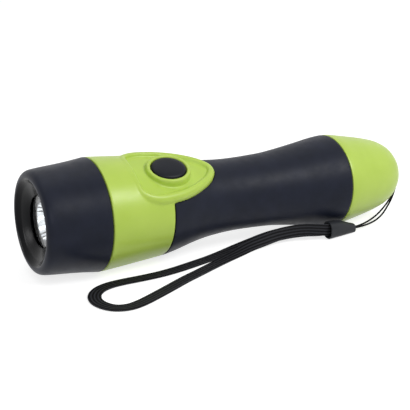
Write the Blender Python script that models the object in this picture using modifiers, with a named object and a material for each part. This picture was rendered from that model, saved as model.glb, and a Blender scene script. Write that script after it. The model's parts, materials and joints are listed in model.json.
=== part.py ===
# A rubber-gripped torch for two C cells, lying on its side with its wrist strap beside it.
# Metres, +Z up. The torch's own axis runs from the head (-X) to the tail (+X), and places
# along it are measured from the seam between the bezel and the switch collar.

import math

import bmesh
import bpy
from mathutils import Matrix, Vector

MM = 0.001

# Facets round the turned pieces. Outer shells share one count, so that nested walls line up.
SHELL_SIDES = 40
INNER_SIDES = 32
SMALL_SIDES = 20
SHARP_ANGLE = math.radians(35.0)

# Fits between neighbours
GAP = 0.3 * MM
RUNNING_GAP = 0.4 * MM
OVERRUN = 6.0 * MM

# How the torch lies: rolled a little towards the front, on its collar and tail rims
ROLL = math.radians(27.0)

# Outer shape. The cells set the waist and the length of the grip; the head has its own size.
HEAD_R = 26.0 * MM
CELL_R = 13.1 * MM
CELL_LENGTH = 50.0 * MM
CELL_CLEARANCE = 0.5 * MM
WAIST_WALL = 3.8 * MM
TAIL_FLARE = 5.6 * MM
GRIP_SHORT = 2.1 * MM
BEZEL_LENGTH = 28.4 * MM
BEZEL_TAPER = 2.8 * MM
COLLAR_LENGTH = 31.1 * MM
COLLAR_TAPER = 2.6 * MM
TAIL_LENGTH = 41.0 * MM
SEAM_CHAMFER = 0.4 * MM
BEZEL_BELLY_SHARE = 0.8
COLLAR_BELLY_SHARE = 1.1
FRONT_FLARE_SHARES = ((0.0, 1.0), (0.08, 0.78), (0.16, 0.46), (0.25, 0.23), (0.33, 0.08), (0.42, 0.0))
REAR_FLARE_SHARES = ((0.42, 0.0), (0.54, 0.03), (0.62, 0.09), (0.70, 0.25), (0.78, 0.46), (0.86, 0.68),
                     (0.93, 0.88), (1.0, 1.0))
DOME_SHARES = ((0.0, 1.0), (0.18, 0.957), (0.36, 0.896), (0.545, 0.835), (0.725, 0.748), (0.815, 0.678),
               (0.905, 0.535), (0.965, 0.36), (1.0, 0.21))

BORE_R = CELL_R + CELL_CLEARANCE
WAIST_R = BORE_R + WAIST_WALL
TAIL_R = WAIST_R + TAIL_FLARE
COLLAR_REAR_R = HEAD_R - COLLAR_TAPER
GRIP_LENGTH = 2 * CELL_LENGTH - GRIP_SHORT

# Bezel: a rounded lip, then a shallow funnel down to the lens. It screws on the collar's neck.
LIP_ROUND = 2.4 * MM
LIP_FLAT = 1.2 * MM
LIP_WIDTH = 6.0 * MM
MOUTH_DEPTH = 2.1 * MM
FUNNEL_WIDTH = 5.6 * MM
WELL_DEPTH = 4.1 * MM
WELL_LIP = 0.6 * MM
BEZEL_WALL = 3.3 * MM
NECK_LENGTH = 18.2 * MM
NECK_WALL = 2.8 * MM

LIP_R = HEAD_R - BEZEL_TAPER
MOUTH_R = LIP_R - LIP_WIDTH
WELL_R = MOUTH_R - FUNNEL_WIDTH
NECK_R = HEAD_R - BEZEL_WALL - GAP

# Lens, gasket, reflector
LENS_THICK = 1.1 * MM
LENS_INSET = 1.9 * MM
GASKET_WIRE_R = 0.95 * MM
GASKET_INSET = 1.3 * MM
REFLECTOR_INSET = 1.4 * MM
REFLECTOR_RIM = 2.2 * MM
REFLECTOR_FOCUS = 2.1 * MM
REFLECTOR_HOLE_R = 3.3 * MM
REFLECTOR_WALL = 1.4 * MM
REFLECTOR_RINGS = 8

LENS_R = NECK_R - LENS_INSET
GASKET_R = LENS_R - GASKET_INSET
REFLECTOR_OPENING_R = WELL_R - REFLECTOR_INSET

# Light engine
EMITTER_BASE_R = 2.7 * MM
EMITTER_BASE_THICK = 0.9 * MM
EMITTER_DOME_R = 1.7 * MM
BOARD_R = 10.0 * MM
BOARD_NOTCH = 1.5 * MM
BOARD_THICK = 1.6 * MM
BOARD_POINTS = 6
BOARD_SCREW_REACH = 7.2 * MM
SCREW_SHANK_R = 1.1 * MM
SCREW_HEAD_R = 2.0 * MM
SCREW_HEAD_THICK = 1.0 * MM
SCREW_LENGTH = 5.4 * MM
SINK_PLATE = 2.5 * MM
SINK_WALL = 1.8 * MM
SINK_SKIRT = 7.8 * MM
SINK_LIP = 1.6 * MM
SINK_LIP_THICK = 1.6 * MM

# Switch pad on the collar: a shield with a raised rim, a sunken floor and an oval ring boss.
# The shares run down one side of the rim's crest, as parts of its length and half width.
PAD_OVER_COLLAR = 16.7 * MM
PAD_LENGTH = 41.8 * MM
PAD_HALF_WIDTH = 15.0 * MM
PAD_OUTLINE_SHARES = ((0.0, 0.0), (0.006, 0.5), (0.055, 0.84), (0.22, 1.0), (0.45, 0.94), (0.67, 0.765),
                      (0.87, 0.475), (0.975, 0.2), (1.0, 0.0))
PAD_RIDGE_DROP = 1.0 * MM
PAD_RIDGE_SET = 9.6 * MM
PAD_PITCH = math.radians(4.0)
PAD_CROWN_R = 60.0 * MM
CROWN_SHARES = (0.3, 0.65)
PAD_RIM = 1.5 * MM
PAD_RIM_LIFT = 0.4 * MM
PAD_INNER_DRAFT = 0.7 * MM
PAD_DRAFT = 1.8 * MM
PAD_SHOULDER = 1.9 * MM
PAD_SHOULDER_SHARES = ((1.0, 1.0), (0.72, 0.45), (0.25, 0.09))
PAD_FLOOR_DEPTH = 1.7 * MM
PAD_THICK = 2.0 * MM
PAD_BLEND_R = 1.6 * MM
BUTTON_SET = 19.45 * MM
BUTTON_R = 7.0 * MM
BUTTON_STRETCH_SHARE = 1.19
BUTTON_RISE = 0.2 * MM
BUTTON_DOME = 1.2 * MM
BUTTON_DOME_SHARES = ((0.0, 1.0), (0.42, 0.93), (0.76, 0.7), (0.95, 0.36), (1.0, 0.0))
BUTTON_FLANGE = 1.4 * MM
BUTTON_FLANGE_THICK = 1.0 * MM
BUTTON_WALL = 1.9 * MM
BUTTON_CROWN = 1.8 * MM
BUTTON_TRAVEL = 1.5 * MM
BOSS_WALL = 1.8 * MM
BOSS_EASE = 0.7 * MM
BOSS_RISE = 0.5 * MM

PAD_FRONT = COLLAR_LENGTH - PAD_OVER_COLLAR
PAD_RIDGE_AT = PAD_FRONT + PAD_RIDGE_SET
PAD_RIDGE_H = COLLAR_REAR_R - PAD_RIDGE_DROP
BUTTON_AT = PAD_FRONT + BUTTON_SET
BUTTON_EDGE_H = PAD_RIDGE_H + BUTTON_RISE
BUTTON_TOP_H = BUTTON_EDGE_H + BUTTON_DOME
BUTTON_CEILING_H = BUTTON_TOP_H - BUTTON_CROWN

# Switch and its shelf
PLUNGER_R = 2.4 * MM
PLUNGER_HEAD_R = 4.2 * MM
PLUNGER_HEAD_THICK = 1.2 * MM
PLUNGER_DEPTH = 1.5 * MM
SWITCH_DROP = 10.4 * MM
SWITCH_LENGTH = 11.6 * MM
SWITCH_WIDTH = 12.0 * MM
SWITCH_HEIGHT = 7.4 * MM
SWITCH_BORE_DEPTH = 4.0 * MM
SWITCH_EDGE = 0.6 * MM
TAG_LENGTH = 2.4 * MM
TAG_WIDTH = 2.0 * MM
TAG_THICK = 0.5 * MM
SHELF_THICK = 1.6 * MM
SHELF_WIDTH = 14.0 * MM

SWITCH_TOP_H = PAD_RIDGE_H - SWITCH_DROP

# Barrel and grip
GRIP_WALL = 1.4 * MM
BARREL_WALL = 1.8 * MM
BARREL_SPIGOT = 8.3 * MM
COLLAR_REAR_WALL = 1.8 * MM
BULKHEAD_SET = 9.5 * MM
BULKHEAD_THICK = 1.8 * MM
RIB_THICK = 2.0 * MM
RIB_RAIL_WIDTH = 8.6 * MM
RIB_COUNT = 5
RIB_SHORT = 2.0 * MM
TAIL_WALL = 4.3 * MM
REAR_SPIGOT = 10.6 * MM

COLLAR_SOCKET_R = COLLAR_REAR_R - COLLAR_REAR_WALL
REAR_SPIGOT_R = TAIL_R - TAIL_WALL - GAP

# Cells and contacts
CELL_NUB_R = 3.2 * MM
CELL_NUB = 1.5 * MM
CELL_EDGE = 0.7 * MM
CONTACT_DISC_R = 5.5 * MM
CONTACT_RIVET_R = 1.2 * MM
CONTACT_HEAD_R = 2.3 * MM
CONTACT_THICK = 0.5 * MM
STRIP_WIDTH = 5.0 * MM
STRIP_THICK = 0.4 * MM
STRIP_REACH = 3.0 * MM
STRIP_LEAD = 4.6 * MM
STRIP_CLEARANCE = 0.35 * MM

# Tail cap, its contact and spring
CAP_SHOULDER = 12.2 * MM
CUP_MARGIN = 0.5 * MM
CUP_FLANGE = 2.0 * MM
CUP_TAPER = 1.5 * MM
CUP_DEPTH = 15.2 * MM
CUP_SHEET = 0.5 * MM
SPRING_WIRE_R = 0.55 * MM
SPRING_TOP_R = 6.0 * MM
SPRING_MARGIN = 3.9 * MM
SPRING_TURNS = 4.5
SPRING_POINTS_PER_TURN = 16
SPRING_FLAT_TURNS = 0.5
SEAL_WIRE_R = 0.7 * MM
SEAL_SEAT_DEPTH = 1.7 * MM
SEAL_SEAT_WIDTH = 2.0 * MM
CHAMBER_STEP = 1.8 * MM
CHAMBER_SLOPE = 3.2 * MM
CHAMBER_FOOT_R = 7.5 * MM
EYE_R = 1.6 * MM
EYE_WALL = 3.0 * MM
DIMPLE_R = 4.6 * MM
DIMPLE_DRAFT = 0.8 * MM
DIMPLE_DEPTH = 3.6 * MM

CUP_FLANGE_R = REAR_SPIGOT_R - CUP_MARGIN
CUP_R = CUP_FLANGE_R - CUP_FLANGE
CUP_FOOT_R = CUP_R - CUP_TAPER
SPRING_BASE_R = CUP_FOOT_R - SPRING_MARGIN
SEAL_SEAT_R = REAR_SPIGOT_R + SEAL_SEAT_WIDTH
SEAL_R = (REAR_SPIGOT_R + GAP + SEAL_SEAT_R) / 2
CHAMBER_R = CUP_FOOT_R - CHAMBER_STEP

# Wrist strap, its sleeve and the string
STRING_R = 0.45 * MM
STRING_SPREAD = 0.7 * MM
STRING_TURN_DEPTH = 3.2 * MM
STOP_R = 3.2 * MM
STOP_LENGTH = 3.0 * MM
STRAP_WIDTH = 6.0 * MM
STRAP_THICK = 1.0 * MM
STRAP_CLEARANCE = 0.1 * MM
SLEEVE_MOUTH = Vector((45.5, -20.6, 0.15)) * MM
SLEEVE_END = Vector((62.5, -18.8, 0.15)) * MM
SLEEVE_MOUTH_HALF_WIDTH = 3.7 * MM
SLEEVE_MOUTH_HALF_HEIGHT = 4.4 * MM
SLEEVE_END_R = 2.3 * MM
SLEEVE_SOCKET_DEPTH = 5.0 * MM
SLEEVE_SQUARENESS_SHARE = 0.8
SLEEVE_SHARES = ((0.0, 0.0), (0.25, 0.04), (0.55, 0.3), (0.85, 0.82), (1.0, 1.0))

# The strap's route on the ground, from the sleeve along the near side, round and back.
# Each point is x, y and clearance under the webbing in millimetres, and how far it stands
# on its edge, in degrees.
STRAP_ROUTE = (
    (50.1, -20.9, 1.55, 90), (45.0, -21.3, 1.55, 90), (39.5, -20.2, 0.8, 90), (34.0, -18.2, 0.2, 90),
    (28.0, -16.5, 0, 90), (20.0, -15.0, 0, 88), (12.0, -14.6, 0, 82), (4.0, -15.4, 0, 72),
    (-4.0, -18.0, 0, 56), (-13.0, -21.4, 0, 36), (-22.0, -25.2, 0, 18), (-31.0, -29.2, 0, 6),
    (-41.0, -33.6, 0, 0), (-51.0, -38.6, 0, 0), (-60.0, -43.0, 0, 0), (-68.0, -46.6, 0, 0),
    (-74.5, -48.2, 0, 0), (-80.0, -46.6, 0, 0), (-83.4, -42.0, 0, 0), (-84.4, -36.2, 0, 0),
    (-82.6, -30.2, 0, 0), (-78.4, -25.6, 0, 0), (-72.6, -23.2, 0, 0), (-65.6, -22.6, 0, 0),
    (-57.0, -22.8, 0, 0), (-48.0, -22.6, 0, 0), (-39.0, -21.4, 0, 0), (-30.0, -19.4, 0, 6),
    (-21.0, -17.2, 0, 20), (-12.0, -15.0, 0, 40), (-3.0, -13.0, 0, 62), (6.0, -12.0, 0, 78),
    (14.0, -12.1, 0, 86), (22.0, -12.8, 0, 90), (29.5, -14.2, 0, 90), (36.0, -16.2, 0.2, 90),
    (40.5, -18.5, 0.8, 90), (45.0, -19.7, 1.55, 90), (50.1, -19.4, 1.55, 90),
)
# The string's route from the sleeve to the eye in the tail, in millimetres.
STRING_ROUTE = (
    (62.8, -18.8, 2.45), (67.4, -17.9, 2.2), (73.0, -16.4, 2.2), (78.8, -14.4, 2.6), (84.4, -12.4, 4.0),
    (89.4, -10.4, 6.4), (93.8, -8.6, 9.3), (97.4, -6.6, 12.4), (100.6, -4.2, 15.7), (102.3, -1.8, 18.9),
    (101.8, -0.3, 21.2), (99.5, 0.0, 21.9),
)

# Places along the axis that follow from the sizes
HEAD_FRONT = -BEZEL_LENGTH
WELL_FLOOR = HEAD_FRONT + WELL_DEPTH
LENS_SEAT = WELL_FLOOR + WELL_LIP
LENS_FRONT = LENS_SEAT + GAP
LENS_REAR = LENS_FRONT + LENS_THICK
REFLECTOR_FRONT = LENS_REAR + GAP
GASKET_AT = LENS_REAR + GAP + GASKET_WIRE_R
FLANGE_FRONT = GASKET_AT + GASKET_WIRE_R + GAP
FLANGE_REAR = -NECK_LENGTH - GAP
REFLECTOR_VERTEX = REFLECTOR_FRONT + REFLECTOR_OPENING_R ** 2 / (4 * REFLECTOR_FOCUS)
REFLECTOR_REAR = REFLECTOR_VERTEX - REFLECTOR_HOLE_R ** 2 / (4 * REFLECTOR_FOCUS)
EMITTER_SHOULDER = REFLECTOR_REAR + GAP
BOARD_FRONT = EMITTER_SHOULDER + EMITTER_BASE_THICK + GAP
SINK_FRONT = BOARD_FRONT + BOARD_THICK + GAP
SINK_REAR = SINK_FRONT + SINK_PLATE + SINK_SKIRT
GRIP_FRONT = COLLAR_LENGTH + GAP / 2
GRIP_REAR = COLLAR_LENGTH + GRIP_LENGTH - GAP / 2
TAIL_FRONT = COLLAR_LENGTH + GRIP_LENGTH + GAP / 2
TAIL_END = TAIL_FRONT + TAIL_LENGTH
BARREL_FRONT = COLLAR_LENGTH - BARREL_SPIGOT
BULKHEAD_AT = COLLAR_LENGTH + BULKHEAD_SET
SPIGOT_REAR = GRIP_REAR + REAR_SPIGOT
SHOULDER_REAR = TAIL_FRONT + CAP_SHOULDER
CONTACT_DISC_AT = BULKHEAD_AT + BULKHEAD_THICK + GAP
FRONT_CELL_AT = CONTACT_DISC_AT + CONTACT_THICK + GAP
REAR_CELL_AT = FRONT_CELL_AT + CELL_LENGTH + GAP
CELLS_END = REAR_CELL_AT + CELL_LENGTH
CUP_FRONT = SHOULDER_REAR - GAP - CUP_SHEET
CUP_REAR = CUP_FRONT + CUP_DEPTH
EYE_REAR = TAIL_END - DIMPLE_DEPTH
CHAMBER_REAR = EYE_REAR - EYE_WALL
STRIP_H = BORE_R + STRIP_CLEARANCE
TILT = math.asin((HEAD_R - TAIL_R) / (TAIL_FRONT - GAP / 2))


def clear_scene():
    for thing in list(bpy.data.objects):
        bpy.data.objects.remove(thing, do_unlink=True)


def new_collection(name):
    collection = bpy.data.collections.new(name)
    bpy.context.scene.collection.children.link(collection)
    return collection


clear_scene()
PARTS = new_collection("torch")
CUTTERS = new_collection("torch_cutters")


def new_material(name, colour, roughness, metallic=0.0):
    material = bpy.data.materials.new(name)
    material.use_nodes = True
    shader = material.node_tree.nodes["Principled BSDF"]
    shader.inputs["Base Color"].default_value = (*colour, 1.0)
    shader.inputs["Roughness"].default_value = roughness
    shader.inputs["Metallic"].default_value = metallic
    return material


BLACK_RUBBER = (0.018, 0.021, 0.028)
LIME = (0.46, 0.66, 0.10)
STEEL = (0.62, 0.62, 0.60)
BRASS = (0.75, 0.56, 0.25)


def place(thing, parent=None, collection=None):
    (collection or PARTS).objects.link(thing)
    thing.parent = parent
    return thing


def empty(name, parent=None, location=(0, 0, 0), rotation=(0, 0, 0)):
    marker = bpy.data.objects.new(name, None)
    marker.location = location
    marker.rotation_euler = rotation
    return place(marker, parent)


def catmull(points, steps):
    """Points on a smooth curve through the given ones, with this many steps a span."""
    points = [Vector(point) for point in points]
    padded = [2 * points[0] - points[1], *points, 2 * points[-1] - points[-2]]
    curve = []
    for before, start, end, after in zip(padded, padded[1:], padded[2:], padded[3:]):
        for step in range(steps):
            t = step / steps
            curve.append(0.5 * (2 * start + (end - before) * t
                                + (2 * before - 5 * start + 4 * end - after) * t * t
                                + (3 * start - before - 3 * end + after) * t ** 3))
    curve.append(points[-1])
    return curve


def turned(name, outer, inner=(), sides=INNER_SIDES, along="X", parent=None, collection=None):
    """A body of revolution. Both lists hold (place along the axis, radius), front to rear."""
    path = list(reversed(outer)) + list(inner)
    mesh = bpy.data.meshes.new(name)
    edges = [(i, i + 1) for i in range(len(path) - 1)]
    if inner and inner[-1][1] > 0:
        edges.append((len(path) - 1, 0))
    mesh.from_pydata([(radius, 0.0, at) for at, radius in path], edges, [])
    thing = bpy.data.objects.new(name, mesh)
    screw = thing.modifiers.new("turn", "SCREW")
    screw.steps = sides
    screw.render_steps = sides
    screw.use_merge_vertices = True
    screw.merge_threshold = 0.00001
    screw.use_smooth_shade = True
    half_step = Matrix.Rotation(math.pi / sides, 4, "Z")
    mesh.transform(half_step)
    if along == "X":
        thing.rotation_euler = (0.0, math.pi / 2, 0.0)
    return place(thing, parent, collection)


def lofted(name, rings, parent=None, collection=None, mirrored=False):
    """A closed skin over rings of equally many points, capped at both ends.

    A mirrored outline, which starts at its front tip, is capped by strips from side to side.
    """
    mesh_builder = bmesh.new()
    rows = [[mesh_builder.verts.new(point) for point in ring] for ring in rings]
    for row, following in zip(rows, rows[1:]):
        for i, corner in enumerate(row):
            j = (i + 1) % len(row)
            mesh_builder.faces.new((corner, row[j], following[j], following[i]))
    for row in (rows[0], rows[-1]):
        if not mirrored:
            mesh_builder.faces.new(row)
            continue
        half = len(row) // 2
        mesh_builder.faces.new((row[0], row[1], row[-1]))
        mesh_builder.faces.new((row[half - 1], row[half], row[half + 1]))
        for i in range(1, half - 1):
            mesh_builder.faces.new((row[i], row[i + 1], row[-i - 1], row[-i]))
    bmesh.ops.recalc_face_normals(mesh_builder, faces=mesh_builder.faces)
    mesh = bpy.data.meshes.new(name)
    mesh_builder.to_mesh(mesh)
    mesh_builder.free()
    mesh.shade_smooth()
    mesh.set_sharp_from_angle(angle=SHARP_ANGLE)
    return place(bpy.data.objects.new(name, mesh), parent, collection)


def box(name, low, high, parent=None, collection=None):
    """A block from its lowest to its highest corner, in its parent's frame."""
    low, high = Vector(low), Vector(high)
    mesh_builder = bmesh.new()
    bmesh.ops.create_cube(mesh_builder, size=1.0)
    bmesh.ops.scale(mesh_builder, vec=high - low, verts=mesh_builder.verts)
    bmesh.ops.translate(mesh_builder, vec=(low + high) / 2, verts=mesh_builder.verts)
    mesh = bpy.data.meshes.new(name)
    mesh_builder.to_mesh(mesh)
    mesh_builder.free()
    return place(bpy.data.objects.new(name, mesh), parent, collection)


def as_cutter(thing):
    thing.hide_render = True
    thing.display_type = "WIRE"
    return thing


def boolean(target, other, operation):
    modifier = target.modifiers.new(other.name, "BOOLEAN")
    modifier.operation = operation
    modifier.solver = "EXACT"
    modifier.object = other
    as_cutter(other)


def finish(thing, material, bevel=0.0):
    if bevel:
        edge = thing.modifiers.new("edges", "BEVEL")
        edge.width = bevel
        edge.segments = 1
        edge.limit_method = "ANGLE"
    thing.data.materials.append(material)
    return thing


def arc(centre_at, centre_r, radius, start, end, steps):
    """Points (place, radius) on a quarter or other arc; angles from the axis direction."""
    points = []
    for step in range(steps + 1):
        angle = start + (end - start) * step / steps
        points.append((centre_at + radius * math.cos(angle), centre_r + radius * math.sin(angle)))
    return points


def ring_section(at, radius, wire_radius, steps=8):
    """The round section of a sealing ring as outer and inner halves, front to rear."""
    outer = arc(at, radius, wire_radius, math.pi, 0.0, steps // 2)
    inner = arc(at, radius, wire_radius, -math.pi, 0.0, steps // 2)[1:-1]
    return outer, inner


def rod_cutter(name, front, rear, radius, along="X", parent=None):
    return turned(name, [(front, 0.0), (front, radius), (rear, radius), (rear, 0.0)], sides=SMALL_SIDES // 2,
                  along=along, parent=parent or axis, collection=CUTTERS)


# The outer radius of each shell, at a place along the axis

def bezel_radius(at):
    share = min(1.0, -at / (BEZEL_LENGTH - LIP_ROUND))
    return HEAD_R - (HEAD_R - LIP_R) * share ** BEZEL_BELLY_SHARE


def collar_radius(at):
    share = max(0.0, at / COLLAR_LENGTH)
    return HEAD_R - (HEAD_R - COLLAR_REAR_R) * share ** COLLAR_BELLY_SHARE


def grip_profile(inset, front, rear, coarse=False):
    """(place, radius) down the grip, this far inside its outer surface."""
    points = []
    for share, flare in FRONT_FLARE_SHARES:
        points.append((share, WAIST_R + flare * (COLLAR_REAR_R - WAIST_R)))
    for share, flare in REAR_FLARE_SHARES[1:]:
        points.append((share, WAIST_R + flare * (TAIL_R - WAIST_R)))
    if coarse:
        points = points[::2]
    return [(front + share * (rear - front), radius - inset) for share, radius in points]


# The torch's axis and its joints

rest_height = HEAD_R * math.cos(math.pi / SHELL_SIDES) / math.cos(TILT)
crest_r = LIP_R - LIP_ROUND
reach_front = HEAD_FRONT * math.cos(TILT) - crest_r * math.sin(TILT)
reach_rear = TAIL_END * math.cos(TILT) + DIMPLE_R * math.sin(TILT)
span_middle = (reach_front + reach_rear) / 2
axis = empty("torch_axis", location=(-span_middle, 0.0, rest_height), rotation=(ROLL, TILT, 0.0))
bezel_joint = empty("bezel_joint", axis)
tail_joint = empty("tail_joint", axis, location=(TAIL_FRONT, 0.0, 0.0))
button_joint = empty("button_joint", axis, location=(BUTTON_AT, 0.0, 0.0))


def make_bezel():
    rounding = arc(HEAD_FRONT + LIP_ROUND, LIP_R - LIP_ROUND, LIP_ROUND, math.pi / 2, math.pi, 4)
    rear = -GAP / 2
    steps = 4
    side = [(rear - SEAM_CHAMFER - (BEZEL_LENGTH - LIP_ROUND - SEAM_CHAMFER) * step / steps)
            for step in range(steps)]
    outer = [(HEAD_FRONT, LIP_R - LIP_ROUND - LIP_FLAT)]
    outer += list(reversed(rounding))
    outer += [(at, bezel_radius(at)) for at in reversed(side)]
    outer += [(rear, HEAD_R - SEAM_CHAMFER)]
    inner = [
        (HEAD_FRONT + MOUTH_DEPTH, MOUTH_R),
        (WELL_FLOOR, WELL_R),
        (LENS_SEAT, WELL_R),
        (LENS_SEAT, LENS_R + RUNNING_GAP),
        (-NECK_LENGTH - RUNNING_GAP, LENS_R + RUNNING_GAP),
        (-NECK_LENGTH - RUNNING_GAP, NECK_R + GAP),
        (rear, NECK_R + GAP),
    ]
    bezel = turned("head_bezel", outer, inner, SHELL_SIDES, parent=bezel_joint)
    finish(bezel, new_material("black_rubberised_shell", BLACK_RUBBER, 0.5))


def make_lens_and_gasket():
    lens = turned("lens_window", [(LENS_FRONT, 0.0), (LENS_FRONT, LENS_R), (LENS_REAR, LENS_R), (LENS_REAR, 0.0)],
                  sides=SHELL_SIDES, parent=bezel_joint)
    finish(lens, new_material("clear_polycarbonate", (0.9, 0.93, 0.95), 0.05))
    outer, inner = ring_section(GASKET_AT, GASKET_R, GASKET_WIRE_R)
    gasket = turned("lens_gasket", outer, inner, parent=bezel_joint)
    finish(gasket, new_material("black_silicone", (0.02, 0.02, 0.02), 0.7))


def make_reflector():
    def bowl(radius, wall):
        slope = radius / (2 * REFLECTOR_FOCUS)
        at = REFLECTOR_VERTEX - radius ** 2 / (4 * REFLECTOR_FOCUS)
        length = math.hypot(1.0, slope)
        return (at + wall / length, radius + wall * slope / length)

    radii = [REFLECTOR_OPENING_R + (REFLECTOR_HOLE_R - REFLECTOR_OPENING_R) * ring / REFLECTOR_RINGS
             for ring in range(REFLECTOR_RINGS + 1)]
    rim_r = REFLECTOR_OPENING_R + REFLECTOR_RIM
    back = [bowl(radius, REFLECTOR_WALL) for radius in radii[::2]]
    back = [point for point in back if FLANGE_REAR < point[0] < REFLECTOR_REAR]
    outer = [
        (REFLECTOR_FRONT, rim_r),
        (FLANGE_FRONT, rim_r),
        (FLANGE_FRONT, LENS_R),
        (FLANGE_REAR, LENS_R),
        (FLANGE_REAR, rim_r),
        *back,
        (REFLECTOR_REAR, REFLECTOR_HOLE_R + REFLECTOR_WALL),
    ]
    inner = [bowl(radius, 0.0) for radius in radii]
    reflector = turned("reflector", outer, inner, sides=INNER_SIDES, parent=axis)
    finish(reflector, new_material("metallised_plastic", (0.86, 0.87, 0.88), 0.12, 1.0))


def make_emitter():
    dome = arc(EMITTER_SHOULDER, 0.0, EMITTER_DOME_R, math.pi, math.pi / 2, 3)
    rear = EMITTER_SHOULDER + EMITTER_BASE_THICK
    outer = [(dome[0][0], 0.0), *dome[1:], (EMITTER_SHOULDER, EMITTER_BASE_R), (rear, EMITTER_BASE_R), (rear, 0.0)]
    emitter = turned("led_emitter", outer, sides=SMALL_SIDES, parent=axis)
    finish(emitter, new_material("clear_silicone_dome", (0.93, 0.90, 0.62), 0.2))


def screw_places():
    return [Vector((0.0, side * BOARD_SCREW_REACH, 0.0)) for side in (1, -1)]


def make_board():
    rear = BOARD_FRONT + BOARD_THICK
    board = turned("led_board", [(BOARD_FRONT, 0.0), (BOARD_FRONT, BOARD_R), (rear, BOARD_R), (rear, 0.0)],
                   sides=SMALL_SIDES, parent=axis)
    for number in range(BOARD_POINTS):
        notch = rod_cutter(f"board_notch_{number}", BOARD_FRONT - OVERRUN, rear + OVERRUN, BOARD_NOTCH)
        angle = 2 * math.pi * (number + 0.5) / BOARD_POINTS
        notch.location = (0.0, BOARD_R * math.sin(angle), BOARD_R * math.cos(angle))
        boolean(board, notch, "DIFFERENCE")
    for number, centre in enumerate(screw_places()):
        hole = rod_cutter(f"board_hole_{number}", BOARD_FRONT - OVERRUN, SINK_FRONT + SINK_PLATE + OVERRUN,
                          SCREW_SHANK_R + GAP)
        hole.location = centre
        boolean(board, hole, "DIFFERENCE")
    finish(board, new_material("white_circuit_board", (0.82, 0.84, 0.82), 0.5))


def make_board_screws():
    head_front = BOARD_FRONT - GAP - SCREW_HEAD_THICK
    shank_front = BOARD_FRONT - GAP
    outer = [(head_front, 0.0), (head_front, SCREW_HEAD_R - SCREW_HEAD_THICK / 2),
             (head_front + SCREW_HEAD_THICK / 2, SCREW_HEAD_R), (shank_front, SCREW_HEAD_R),
             (shank_front, SCREW_SHANK_R), (shank_front + SCREW_LENGTH, SCREW_SHANK_R),
             (shank_front + SCREW_LENGTH, 0.0)]
    for name, centre in zip(("board_screw_left", "board_screw_right"), screw_places()):
        screw = turned(name, outer, sides=SMALL_SIDES // 2, parent=axis)
        screw.location = centre
        finish(screw, new_material(name + "_steel", STEEL, 0.3, 1.0))


def make_heat_sink():
    radius = NECK_R - NECK_WALL - GAP
    outer = [(SINK_FRONT, 0.0), (SINK_FRONT, radius), (SINK_REAR, radius)]
    inner = [(SINK_REAR, radius - SINK_WALL), (SINK_FRONT + SINK_PLATE, radius - SINK_WALL),
             (SINK_FRONT + SINK_PLATE, 0.0)]
    sink = turned("heat_sink", outer + inner, sides=SHELL_SIDES, parent=axis)
    for number in range(len(screw_places())):
        boolean(sink, bpy.data.objects[f"board_hole_{number}"], "DIFFERENCE")
    finish(sink, new_material("cast_aluminium", (0.72, 0.73, 0.74), 0.4, 1.0))


def pad_outline(offset):
    """The rim's crest as (place, sideways) points, moved outwards by the offset."""
    side = [Vector((share * PAD_LENGTH, reach * PAD_HALF_WIDTH, 0.0)) for share, reach in PAD_OUTLINE_SHARES]
    ring = side + [Vector((point.x, -point.y, 0.0)) for point in reversed(side[1:-1])]
    ring = catmull([ring[-1], *ring, ring[0], ring[1]], 2)[2:-3]
    moved = []
    for i, point in enumerate(ring):
        along = (ring[(i + 1) % len(ring)] - ring[i - 1]).normalized()
        moved.append((PAD_FRONT + point.x - along.y * offset, point.y + along.x * offset))
    return moved


def pad_crown(at, sideways):
    """Height of the pad's crowned, slightly falling top above the axis."""
    ridge = PAD_RIDGE_H - math.tan(PAD_PITCH) * (at - PAD_RIDGE_AT)
    return ridge - sideways ** 2 / (2 * PAD_CROWN_R)


def pad_rim_height(at, sideways):
    """The rim follows the crown, and rides over the collar's surface where that is higher."""
    collar = math.sqrt(max(0.0, collar_radius(at) ** 2 - sideways ** 2)) + PAD_RIM_LIFT
    if at > COLLAR_LENGTH:
        return pad_crown(at, sideways)
    crown = pad_crown(at, sideways)
    return (crown + collar + math.hypot(crown - collar, PAD_BLEND_R)) / 2 - PAD_BLEND_R / 4


def pad_ring(offset, height, share=1.0):
    """The outline moved out by the offset and narrowed to a share, at a height of its own."""
    narrowed = [(at, sideways * share) for at, sideways in pad_outline(offset)]
    return [(at, sideways, height(at, sideways)) for at, sideways in narrowed]


def pad_floor(at, sideways):
    return pad_crown(at, sideways) - PAD_FLOOR_DEPTH


def pad_underside(at, sideways):
    return pad_floor(at, sideways) - PAD_THICK


def make_pad():
    def rim(drop):
        return lambda at, sideways: pad_rim_height(at, sideways) - drop

    ease = PAD_RIM / 3
    basin = -PAD_RIM - PAD_INNER_DRAFT
    rings = [pad_ring(PAD_DRAFT, pad_underside, share) for share in CROWN_SHARES]
    rings.append(pad_ring(PAD_DRAFT, pad_underside))
    for outward, down in PAD_SHOULDER_SHARES:
        rings.append(pad_ring(PAD_DRAFT * outward, rim(PAD_SHOULDER * down)))
    rings += [pad_ring(-ease, rim(0.0)), pad_ring(-PAD_RIM, rim(ease)), pad_ring(basin, pad_floor)]
    rings += [pad_ring(basin, pad_floor, share) for share in reversed(CROWN_SHARES)]
    return lofted("pad_body", rings, axis, CUTTERS, mirrored=True)


def oval(thing):
    """Stretch a piece that is turned about the button's axis, along the torch."""
    thing.scale = (BUTTON_STRETCH_SHARE, 1.0, 1.0)
    return thing


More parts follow.
